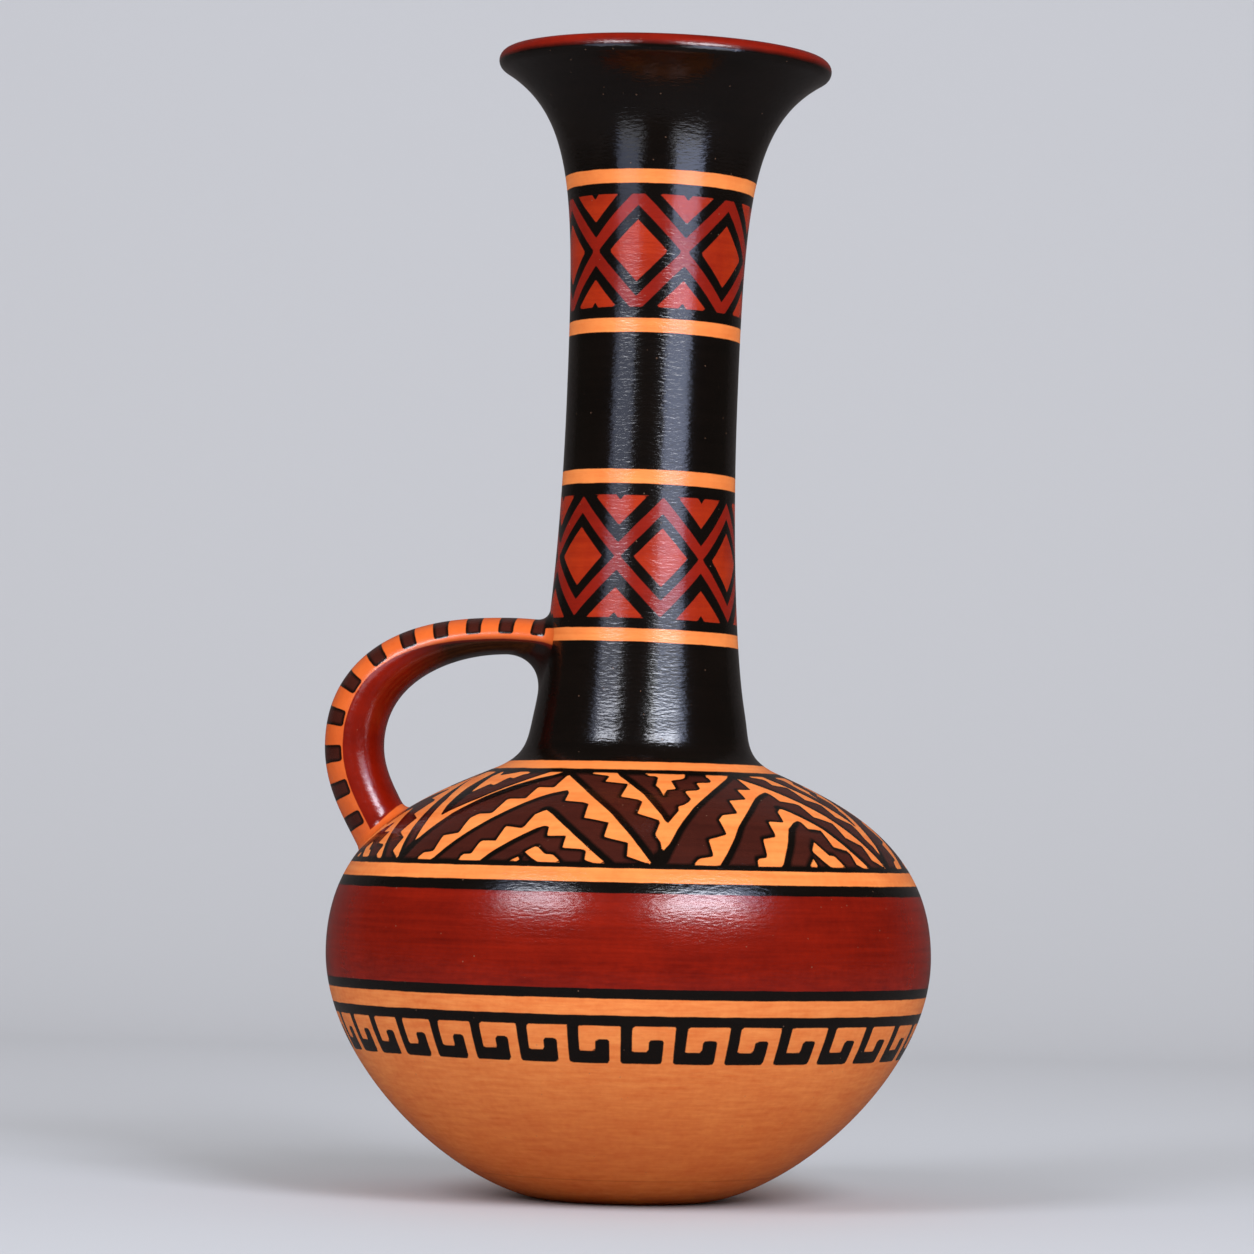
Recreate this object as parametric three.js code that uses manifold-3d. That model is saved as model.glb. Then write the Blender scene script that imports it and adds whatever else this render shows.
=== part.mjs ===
// Painted pottery bottle, hand built from luted clay parts: a round belly on a small flat base,
// a long neck that leans a little, a flared mouth with a rolled lip, and one looped strap handle.
// Units are millimetres and +Z is up. The origin is the centre of the flat base on the table,
// on the belly's axis, and the handle stands towards -X.
import * as THREE from 'three';
import { mergeVertices } from 'three/addons/utils/BufferGeometryUtils.js';
import Module from 'manifold-3d';

const wasm = await Module();
wasm.setup();

// Belly: two curves that meet at its widest level
const baseRadius = 29.5;           // flat foot that the bottle stands on
const bellyRadius = 99.8;
const bellyHeight = 80.2;         // level of the widest line
const footReach = 30.5;           // how far the underside runs out before it turns up
const footSlope = 0.2;            // rise of the underside per millimetre outwards
const lowerFullness = 35.8;       // how long the side stays upright below the widest line
const upperFullness = 36.2;       // the same above it
const shoulderRadius = 47;        // where the shoulder starts to turn up into the neck
const shoulderRise = 60.6;        // above the widest level
const shoulderHeight = bellyHeight + shoulderRise;
const shoulderSlope = 0.42;
const shoulderReach = 26.3;

// Neck and mouth
const throatRadius = 34.9;        // end of the concave turn from shoulder to neck
const throatRise = 19.2;          // above the shoulder
const throatHeight = shoulderHeight + throatRise;
const throatTaper = 0.19;         // radius lost per millimetre of height there
const shoulderTurn = 11;          // length of the turn along the shoulder
const throatTurn = 9.5;           // length of the turn along the neck
const waistRadius = 28.3;         // narrowest part of the neck
const waistRise = 104.5;          // above the throat
const waistHeight = throatHeight + waistRise;
const neckTaperReach = 20;
const waistLowerFullness = 46;
const waistUpperFullness = 67.5;
const mouthRadius = 53.6;         // where the flare ends and the lip begins
const mouthRise = 107.5;          // above the waist
const mouthHeight = waistHeight + mouthRise;
const mouthSlope = 0.6;
const mouthReach = 23.9;
const lipRadius = 3.4;            // the lip is a half-round roll of this radius

// The neck was set a little to one side of the belly's axis, and leans: its collar turns the
// rings of the wall from level to square with the leaning axis
const neckOffset = 2.1;
const offsetBelowShoulder = 30.8; // the offset sets in over the shoulder and throat
const offsetAboveThroat = 6;
const offsetStartHeight = shoulderHeight - offsetBelowShoulder;
const offsetEndHeight = throatHeight + offsetAboveThroat;
const neckLean = 0.0185;          // sideways travel per millimetre of height above the offset

// Clay walls, measured square to the surface
const baseWall = 6.6;
const bodyWall = 6;
const neckWall = 5.5;

// Joints between the clay parts. The collar's upper joint lies just above the handle's middle.
const handleRise = 24;            // middle of the strap at the neck, above the throat
const handleNeckHeight = throatHeight + handleRise;
const baseJointHeight = 9;
const bellyJointHeight = bellyHeight;
const neckJointRise = 9.2;
const neckJointHeight = shoulderHeight + neckJointRise;
const collarJointRise = 1.2;
const collarJointHeight = handleNeckHeight + collarJointRise;
const flareDepth = 37.5;          // height of the flared mouth part
const flareJointHeight = mouthHeight - flareDepth;
const lapHeight = 2.5;            // step in the meeting edges
const slipGap = 0.3;              // film of liquid clay in every joint
const coilThickness = 3;          // luting coils pressed over the joints from inside
const baseCoilHeight = 5;
const bellyCoilHeight = 14;
const neckCoilHeight = 10;

// Handle: a strap on a looped path in an upright plane through the axis
const handleTurn = THREE.MathUtils.degToRad(7);   // its plane is turned this much from -X to +Y
const handleNeckInset = 14;       // the path starts this far inside the neck's surface
const crownReach = 35.9;
const crownRise = 4.2;
const handleProud = 3.4;          // its back stands this far outside the belly's widest line
const handleBackRise = 7.2;       // its furthest point, above the shoulder
const handleBackHeight = shoulderHeight + handleBackRise;
const handleUpperFullness = 27.2;
const handleLowerFullness = 14.8;
const handleRootDrop = 20.3;      // where its middle line meets the dome, below the shoulder
const handleRootHeight = shoulderHeight - handleRootDrop;
const handleRootLean = THREE.MathUtils.degToRad(23.3);
const handleRootReach = 4;
const handleRootInset = 15;
const strapWidth = 25;
const strapThinThickness = 12.4;  // near the neck
const strapThickThickness = 19.8; // at the back and at the shoulder
const thickenStart = 0.19;        // shares of the path over which the strap thickens
const thickenEnd = 0.64;

// Wads of soft clay worked round the ends of the strap; each value is a fillet radius
const upperWad = { outer: 4, side: 4.5, inner: 13 };
const lowerWad = { outer: 2.5, side: 3, inner: 4 };
const wadEdge = 0.9;              // height of the wad's edge above the strap

// Smoothness
const bellySegments = 48;
const neckSegments = 36;
const strapSides = 20;
const strapSteps = 22;
const wadSteps = 6;

// The outline as curves of radius and height, with the wall at both ends and the steps drawn
function outlineCurves() {
  const v = (radius, height) => new THREE.Vector2(radius, height);
  const foot = new THREE.CubicBezierCurve(
    v(baseRadius, 0),
    v(baseRadius + footReach, footReach * footSlope),
    v(bellyRadius, bellyHeight - lowerFullness),
    v(bellyRadius, bellyHeight),
  );
  const shoulder = new THREE.CubicBezierCurve(
    v(bellyRadius, bellyHeight),
    v(bellyRadius, bellyHeight + upperFullness),
    v(shoulderRadius + shoulderReach, shoulderHeight - shoulderReach * shoulderSlope),
    v(shoulderRadius, shoulderHeight),
  );
  const throat = new THREE.CubicBezierCurve(
    v(shoulderRadius, shoulderHeight),
    v(shoulderRadius - shoulderTurn, shoulderHeight + shoulderTurn * shoulderSlope),
    v(throatRadius + throatTurn * throatTaper, throatHeight - throatTurn),
    v(throatRadius, throatHeight),
  );
  const neck = new THREE.CubicBezierCurve(
    v(throatRadius, throatHeight),
    v(throatRadius - neckTaperReach * throatTaper, throatHeight + neckTaperReach),
    v(waistRadius, waistHeight - waistLowerFullness),
    v(waistRadius, waistHeight),
  );
  const mouth = new THREE.CubicBezierCurve(
    v(waistRadius, waistHeight),
    v(waistRadius, waistHeight + waistUpperFullness),
    v(mouthRadius - mouthReach, mouthHeight - mouthReach * mouthSlope),
    v(mouthRadius, mouthHeight),
  );
  return [
    { curve: foot, walls: [baseWall, bodyWall], steps: 9 },
    { curve: shoulder, walls: [bodyWall, bodyWall], steps: 8 },
    { curve: throat, walls: [bodyWall, neckWall], steps: 4 },
    { curve: neck, walls: [neckWall, neckWall], steps: 4 },
    { curve: mouth, walls: [neckWall, 2 * lipRadius], steps: 8 },
  ];
}

// Points down the outline, each with its outward direction and its wall
function outlinePoints() {
  const points = [];
  for (const { curve, walls, steps } of outlineCurves()) {
    for (let i = points.length ? 1 : 0; i <= steps; i += 1) {
      const t = i / steps;
      const along = curve.getTangent(t);
      points.push({
        at: curve.getPoint(t),
        out: new THREE.Vector2(along.y, -along.x),
        wall: THREE.MathUtils.lerp(walls[0], walls[1], t),
      });
    }
  }
  return points;
}

const outline = outlinePoints();

// The line that lies a share of the wall plus some depth inside the outline
function lineAtDepth(wallShare, depth) {
  return outline.map(({ at, out, wall }) => at.clone().addScaledVector(out, -wall * wallShare - depth));
}

const outerLine = lineAtDepth(0, 0);
const innerLine = lineAtDepth(1, 0);
const floorHeight = innerLine[0].y;

function radiusAt(line, height) {
  const last = line.length - 1;
  if (height <= line[0].y) return line[0].x;
  if (height >= line[last].y) return line[last].x;
  const i = line.findIndex((point) => point.y > height);
  const share = (height - line[i - 1].y) / (line[i].y - line[i - 1].y);
  return THREE.MathUtils.lerp(line[i - 1].x, line[i].x, share);
}

// The part of a line between two heights, from low to high, without crowded points near its ends
function stretchOf(line, low, high) {
  const room = 0.8;
  const between = line.filter((point) => point.y > low + room && point.y < high - room);
  return [
    new THREE.Vector2(radiusAt(line, low), low),
    ...between,
    new THREE.Vector2(radiusAt(line, high), high),
  ];
}

// Sideways place of the vessel's own axis at a height
function axisDrift(height) {
  const eased = THREE.MathUtils.smoothstep(height, offsetStartHeight, offsetEndHeight);
  return neckOffset * eased + neckLean * Math.max(0, height - offsetEndHeight);
}

// Turn of the wall's rings at a height, as the fall towards +X per millimetre
function ringFall(height) {
  return neckLean * THREE.MathUtils.smoothstep(height, neckJointHeight, collarJointHeight);
}

// A turned shape from a closed outline of radius and height, set on the leaning axis
function turned(points, segments) {
  const closed = points[0].x === 0 ? points : [...points, points[0]];
  const geometry = new THREE.LatheGeometry(closed, segments);
  geometry.rotateX(Math.PI / 2);
  const position = geometry.attributes.position;
  for (let i = 0; i < position.count; i += 1) {
    const [aside, height] = [position.getX(i), position.getZ(i)];
    position.setX(i, aside + axisDrift(height));
    position.setZ(i, height - aside * ringFall(height));
  }
  return geometry;
}

// The step in a wall edge: the lower part keeps a tongue on its inner half, and the upper part a
// matching rebate, with a film of slip all the way between them
function lapMiddle(height) {
  return (radiusAt(outerLine, height) + radiusAt(innerLine, height + lapHeight)) / 2;
}

function tongueEdge(height) {
  const radius = lapMiddle(height) - slipGap / 2;
  return [new THREE.Vector2(radius, height), new THREE.Vector2(radius, height + lapHeight)];
}

function rebateEdge(height) {
  const radius = lapMiddle(height) + slipGap / 2;
  return [
    new THREE.Vector2(radius, height + lapHeight + slipGap),
    new THREE.Vector2(radius, height + slipGap),
  ];
}

// A wall section between two joints
function wallSection(low, high, segments) {
  return turned([
    ...stretchOf(outerLine, low + slipGap, high),
    ...tongueEdge(high),
    ...stretchOf(innerLine, low + lapHeight + slipGap, high + lapHeight).reverse(),
    ...rebateEdge(low),
  ], segments);
}

// Saucer-shaped base slab with a flat underside, a level floor and a rim that carries the bowl
function baseDisc() {
  const floor = stretchOf(innerLine, floorHeight, baseJointHeight + lapHeight).reverse();
  return turned([
    new THREE.Vector2(0, 0),
    ...stretchOf(outerLine, 0, baseJointHeight),
    ...tongueEdge(baseJointHeight),
    ...floor,
    new THREE.Vector2(0, floorHeight),
  ], neckSegments);
}

// Flared mouth, ending in an edge cut square to its wall for the lip
function mouthFlare() {
  const foot = flareJointHeight + slipGap;
  const outer = stretchOf(outerLine, foot, mouthHeight);
  const inner = stretchOf(innerLine, foot + lapHeight, innerLine.at(-1).y).reverse();
  return turned([...outer, ...inner, ...rebateEdge(flareJointHeight)], neckSegments);
}

// Half-round lip roll whose flat side lies on the mouth's edge
function lipCoil() {
  const { at, out } = outline.at(-1);
  const ahead = new THREE.Vector2(-out.y, out.x);
  const centre = at.clone().addScaledVector(out, -lipRadius).addScaledVector(ahead, slipGap);
  const arcSteps = 8;
  const points = [];
  for (let i = 0; i <= arcSteps; i += 1) {
    const angle = Math.PI * i / arcSteps;
    const point = centre.clone().addScaledVector(out, lipRadius * Math.cos(angle));
    points.push(point.addScaledVector(ahead, lipRadius * Math.sin(angle)));
  }
  return turned(points, neckSegments);
}

// Luting coil smeared over a joint from inside: one side follows the wall, the other swells
function seamCoil(jointHeight, coilHeight, segments) {
  const wallSide = lineAtDepth(1, slipGap);
  const steps = 3;
  const edge = 0.25;
  const middle = jointHeight + lapHeight;
  const nearWall = [];
  const swollen = [];
  for (let i = 0; i <= steps; i += 1) {
    const share = i / steps;
    const height = middle + coilHeight * (share - 0.5);
    const radius = radiusAt(wallSide, height);
    const slope = (radiusAt(wallSide, height + 1) - radiusAt(wallSide, height - 1)) / 2;
    const inward = new THREE.Vector2(-1, slope).normalize();
    const swell = coilThickness * (edge + (1 - edge) * Math.sin(Math.PI * share));
    const point = new THREE.Vector2(radius, height);
    nearWall.push(point);
    swollen.push(point.clone().addScaledVector(inward, swell));
  }
  return turned([...nearWall, ...swollen.reverse()], segments);
}

// The handle's middle line, in distance from the belly's axis and height
function handlePath() {
  const v = (distance, height) => new THREE.Vector2(distance, height);
  const neckSurface = radiusAt(outerLine, handleNeckHeight)
    - axisDrift(handleNeckHeight) * Math.cos(handleTurn);
  const start = v(neckSurface, handleNeckHeight);
  const ahead = v(crownReach, crownRise).normalize();
  const back = v(bellyRadius + handleProud - strapThickThickness / 2, handleBackHeight);
  const down = v(-Math.sin(handleRootLean), -Math.cos(handleRootLean));
  const root = v(radiusAt(outerLine, handleRootHeight), handleRootHeight);
  const path = new THREE.CurvePath();
  path.add(new THREE.LineCurve(start.clone().addScaledVector(ahead, -handleNeckInset), start));
  path.add(new THREE.CubicBezierCurve(
    start,
    v(start.x + crownReach, start.y + crownRise),
    v(back.x, back.y + handleUpperFullness),
    back,
  ));
  path.add(new THREE.CubicBezierCurve(
    back,
    v(back.x, back.y - handleLowerFullness),
    root.clone().addScaledVector(down, -handleRootReach),
    root.clone().addScaledVector(down, handleRootInset),
  ));
  return path;
}

const strapPath = handlePath();
const pathLength = strapPath.getLength();
const handleOutward = new THREE.Vector3(-Math.cos(handleTurn), Math.sin(handleTurn), 0);
const acrossStrap = new THREE.Vector3(Math.sin(handleTurn), Math.cos(handleTurn), 0);
const upward = new THREE.Vector3(0, 0, 1);

function inHandlePlane(vector) {
  return handleOutward.clone().multiplyScalar(vector.x).addScaledVector(upward, vector.y);
}

// Place and directions of the strap at a share of its path
function strapFrame(share) {
  const at = Math.min(Math.max(share, 0), 1);
  const along = strapPath.getTangentAt(at);
  return {
    centre: inHandlePlane(strapPath.getPointAt(at)),
    out: inHandlePlane(new THREE.Vector2(-along.y, along.x)),
  };
}

function strapHalfThickness(share) {
  const eased = THREE.MathUtils.smoothstep(share, thickenStart, thickenEnd);
  return THREE.MathUtils.lerp(strapThinThickness, strapThickThickness, eased) / 2;
}

// A point on the strap's oval section. Angle 0 is its outer face, a half turn its inner face.
// It stands proud of the strap by some amount.
function strapPoint(share, angle, proud) {
  const { centre, out } = strapFrame(share);
  const thick = (strapHalfThickness(share) + proud) * Math.cos(angle);
  const wide = (strapWidth / 2 + proud) * Math.sin(angle);
  return centre.addScaledVector(out, thick).addScaledVector(acrossStrap, wide);
}

// How far a point stands outside the vessel, measured square to its axis
function outsideVessel(point) {
  const aside = point.x - axisDrift(point.z);
  const height = point.z + aside * ringFall(point.z);
  return Math.hypot(aside, point.y) - radiusAt(outerLine, height);
}

// Share of the path at which a line along the strap meets the vessel, looked for between an
// inside share and an outside one
function meetingShare(angle, inside, outside) {
  let low = inside;
  let high = outside;
  for (let i = 0; i < 30; i += 1) {
    const middle = (low + high) / 2;
    if (outsideVessel(strapPoint(middle, angle, 0)) > 0) high = middle;
    else low = middle;
  }
  return high;
}

// A closed skin over rings of points, with a fan at each end
function skinOver(rings) {
  const sides = rings[0].length;
  const positions = rings.flat().flatMap((p) => [p.x, p.y, p.z]);
  const indices = [];
  for (let i = 0; i + 1 < rings.length; i += 1) {
    for (let j = 0; j < sides; j += 1) {
      const a = i * sides + j;
      const b = i * sides + (j + 1) % sides;
      indices.push(a, b, a + sides, b, b + sides, a + sides);
    }
  }
  const lastRing = (rings.length - 1) * sides;
  for (const [ring, offset, flip] of [[rings[0], 0, true], [rings.at(-1), lastRing, false]]) {
    const hub = ring.reduce((sum, p) => sum.add(p), new THREE.Vector3()).divideScalar(sides);
    const hubIndex = positions.length / 3;
    positions.push(hub.x, hub.y, hub.z);
    for (let j = 0; j < sides; j += 1) {
      const a = offset + j;
      const b = offset + (j + 1) % sides;
      indices.push(...(flip ? [hubIndex, b, a] : [hubIndex, a, b]));
    }
  }
  const geometry = new THREE.BufferGeometry();
  geometry.setAttribute('position', new THREE.Float32BufferAttribute(positions, 3));
  geometry.setIndex(indices);
  return geometry;
}

function ringOf(pointAtAngle) {
  return Array.from({ length: strapSides }, (_, i) => pointAtAngle(2 * Math.PI * i / strapSides));
}

function strapSkin(proud) {
  const rings = [];
  for (let i = 0; i <= strapSteps; i += 1) {
    rings.push(ringOf((angle) => strapPoint(i / strapSteps, angle, proud)));
  }
  return skinOver(rings);
}

// Fillet radius of a wad round the strap: outer face, side, inner face, with soft changes between
function wadRadius(wad, angle) {
  const face = Math.cos(angle) > 0 ? wad.outer : wad.inner;
  return THREE.MathUtils.lerp(wad.side, face, Math.cos(angle) ** 2);
}

// A wad's skin: from its edge on the strap down a hollow quarter round to the vessel's surface,
// and on into the wall. The end of the path it sits at is named by two shares, as above.
function wadSkin(wad, inside, outside) {
  const wallShare = 0.05;
  const away = Math.sign(outside - inside);
  const lineFor = (angle) => {
    const radius = wadRadius(wad, angle);
    return { radius, meeting: meetingShare(angle, inside, outside), reach: radius / pathLength };
  };
  const rings = [ringOf((angle) => {
    const { meeting } = lineFor(angle);
    return strapPoint(meeting - away * wallShare, angle, wadRadius(wad, angle));
  })];
  for (let i = wadSteps; i >= 0; i -= 1) {
    const turn = (Math.PI / 2) * (1 - i / wadSteps);
    rings.push(ringOf((angle) => {
      const { radius, meeting, reach } = lineFor(angle);
      const share = meeting + away * reach * (1 - Math.cos(turn));
      return strapPoint(share, angle, wadEdge + (radius - wadEdge) * (1 - Math.sin(turn)));
    }));
  }
  return skinOver(away > 0 ? rings : rings.reverse());
}

function toSolid(geometry) {
  const bare = geometry.clone();
  bare.deleteAttribute('normal');
  bare.deleteAttribute('uv');
  const merged = mergeVertices(bare, 1e-4);
  const triangles = [];
  const index = merged.index.array;
  for (let i = 0; i < index.length; i += 3) {
    const [a, b, c] = [index[i], index[i + 1], index[i + 2]];
    if (a !== b && b !== c && c !== a) triangles.push(a, b, c);
  }
  return new wasm.Manifold(new wasm.Mesh({
    numProp: 3,
    vertProperties: new Float32Array(merged.attributes.position.array),
    triVerts: new Uint32Array(triangles),
  }));
}

function toGeometry(solid) {
  const mesh = solid.getMesh();
  const geometry = new THREE.BufferGeometry();
  geometry.setAttribute('position', new THREE.Float32BufferAttribute(mesh.vertProperties, 3));
  geometry.setIndex(new THREE.Uint32BufferAttribute(mesh.triVerts, 1));
  return geometry;
}

// The whole vessel as one solid without a hollow, grown by the slip gap: it trims the handle
function vesselEnvelope() {
  const grown = lineAtDepth(0, -slipGap);
  const points = [
    new THREE.Vector2(0, 0),
    new THREE.Vector2(grown[0].x, 0),
    ...grown.slice(1),
    new THREE.Vector2(0, grown.at(-1).y),
  ];
  return toSolid(turned(points, bellySegments));
}

function handleParts() {
  const envelope = vesselEnvelope();
  const strap = toSolid(strapSkin(0)).subtract(envelope);
  const slippedStrap = toSolid(strapSkin(slipGap));
  const midway = 0.5;
  const upper = toSolid(wadSkin(upperWad, 0, midway)).subtract(slippedStrap).subtract(envelope);
  const lower = toSolid(wadSkin(lowerWad, 1, midway)).subtract(slippedStrap).subtract(envelope);
  return { strap: toGeometry(strap), upper: toGeometry(upper), lower: toGeometry(lower) };
}

const finishes = {
  bareClay: { color: '#a8673c', roughness: 0.85 },
  orangeSlip: { color: '#cf7a3e', roughness: 0.42 },
  redSlip: { color: '#8c2317', roughness: 0.28 },
  blackSlip: { color: '#191313', roughness: 0.26 },
};

const bottle = new THREE.Group();
bottle.name = 'bottle';

function addPart(name, geometry, finish) {
  const material = new THREE.MeshStandardMaterial({ ...finishes[finish], metalness: 0 });
  const mesh = new THREE.Mesh(geometry, material);
  mesh.name = name;
  bottle.add(mesh);
}

const handle = handleParts();
addPart('base_disc', baseDisc(), 'orangeSlip');
addPart('base_seam_coil', seamCoil(baseJointHeight, baseCoilHeight, neckSegments), 'bareClay');
addPart('lower_bowl', wallSection(baseJointHeight, bellyJointHeight, bellySegments), 'orangeSlip');
addPart('belly_seam_coil', seamCoil(bellyJointHeight, bellyCoilHeight, bellySegments), 'bareClay');
addPart('shoulder_dome', wallSection(bellyJointHeight, neckJointHeight, bellySegments), 'redSlip');
addPart('neck_seam_coil', seamCoil(neckJointHeight, neckCoilHeight, neckSegments), 'bareClay');
addPart('neck_collar', wallSection(neckJointHeight, collarJointHeight, neckSegments), 'blackSlip');
addPart('neck_tube', wallSection(collarJointHeight, flareJointHeight, neckSegments), 'blackSlip');
addPart('mouth_flare', mouthFlare(), 'blackSlip');
addPart('lip_coil', lipCoil(), 'redSlip');
addPart('handle_strap', handle.strap, 'orangeSlip');
addPart('handle_upper_wad', handle.upper, 'orangeSlip');
addPart('handle_lower_wad', handle.lower, 'orangeSlip');

export default bottle;
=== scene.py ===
"""Looks of a hand-built, slip-painted and burnished pottery bottle with one strap handle.

Every surface is worked out with numpy from the same sizes as the CAD solids. A visible clay part
stands for the CAD node of the same name. Each mesh carries, at every point, its distance in
millimetres from the edge of each painted slip, and its material lays a slip where that distance is
below 0.
"""
import logging
import math
from dataclasses import dataclass, field
from enum import Enum
from typing import Optional, Sequence, Union

import bpy
import numpy as np
from mathutils import Matrix, Vector


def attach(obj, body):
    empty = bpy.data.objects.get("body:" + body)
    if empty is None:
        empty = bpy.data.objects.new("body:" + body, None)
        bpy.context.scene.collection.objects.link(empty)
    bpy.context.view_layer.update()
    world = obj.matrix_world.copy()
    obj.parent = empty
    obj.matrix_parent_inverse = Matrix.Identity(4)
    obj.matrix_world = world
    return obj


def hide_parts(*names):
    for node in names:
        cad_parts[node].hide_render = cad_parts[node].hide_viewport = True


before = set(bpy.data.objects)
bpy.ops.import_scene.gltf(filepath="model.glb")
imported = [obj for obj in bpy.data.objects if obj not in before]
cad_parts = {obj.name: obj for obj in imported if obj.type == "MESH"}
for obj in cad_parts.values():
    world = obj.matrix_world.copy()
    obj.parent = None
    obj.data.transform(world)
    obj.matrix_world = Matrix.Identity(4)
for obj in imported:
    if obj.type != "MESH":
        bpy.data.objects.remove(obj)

log = logging.getLogger("bottle")
MM = 0.001
# Distance in millimetres that stands for "none of this slip is near"
FAR = 50.0
# Faces that meet at more than this are shaded as a crease
CREASE = math.radians(40)
# Share of a curve's parameter over which its direction is measured
NUDGE = 1e-4
# A Mix node that blends colours
BLEND = {"out": 2, "data_type": "RGBA"}
WHITE = "#ffffff"
Input = Union[float, Sequence[float], bpy.types.NodeSocket]


def linear(hex_colour: str) -> tuple[float, float, float, float]:
    """Turn an sRGB hex colour into linear RGBA.

    Args:
        hex_colour: six hex digits after a hash.

    Returns:
        The linear red, green and blue, with an alpha of 1.
    """
    parts = [int(hex_colour[i:i + 2], 16) / 255 for i in (1, 3, 5)]
    turned = [c / 12.92 if c <= 0.04045 else ((c + 0.055) / 1.055) ** 2.4 for c in parts]
    return (*turned, 1.0)


def smoothstep(value: np.ndarray, low: float, high: float) -> np.ndarray:
    """Ease from 0 at low to 1 at high, level at both ends: 3t^2 - 2t^3."""
    t = np.clip((np.asarray(value, float) - low) / (high - low), 0, 1)
    return t * t * (3 - 2 * t)


def cubic(points: Sequence[Sequence[float]], t: np.ndarray) -> np.ndarray:
    """Points of a cubic Bezier curve, or of many that run side by side.

    Args:
        points: its four control points, or four equal arrays of them.
        t: parameters from 0 to 1.

    Returns:
        One row for each parameter: (1-t)^3 A + 3(1-t)^2 t B + 3(1-t)t^2 C + t^3 D.
    """
    a, b, c, d = (np.asarray(p, float) for p in points)
    t = np.asarray(t, float).reshape(-1, *[1] * a.ndim)
    return (1 - t) ** 3 * a + 3 * (1 - t) ** 2 * t * b + 3 * (1 - t) * t ** 2 * c + t ** 3 * d


def step_lengths(path: np.ndarray) -> np.ndarray:
    """Length of each step of a flat path."""
    return np.hypot(*np.diff(path, axis=0).T)


def unit(rows: np.ndarray) -> np.ndarray:
    """Rows of flat directions, each made one long."""
    return rows / np.hypot(*rows.T)[:, None]


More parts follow.
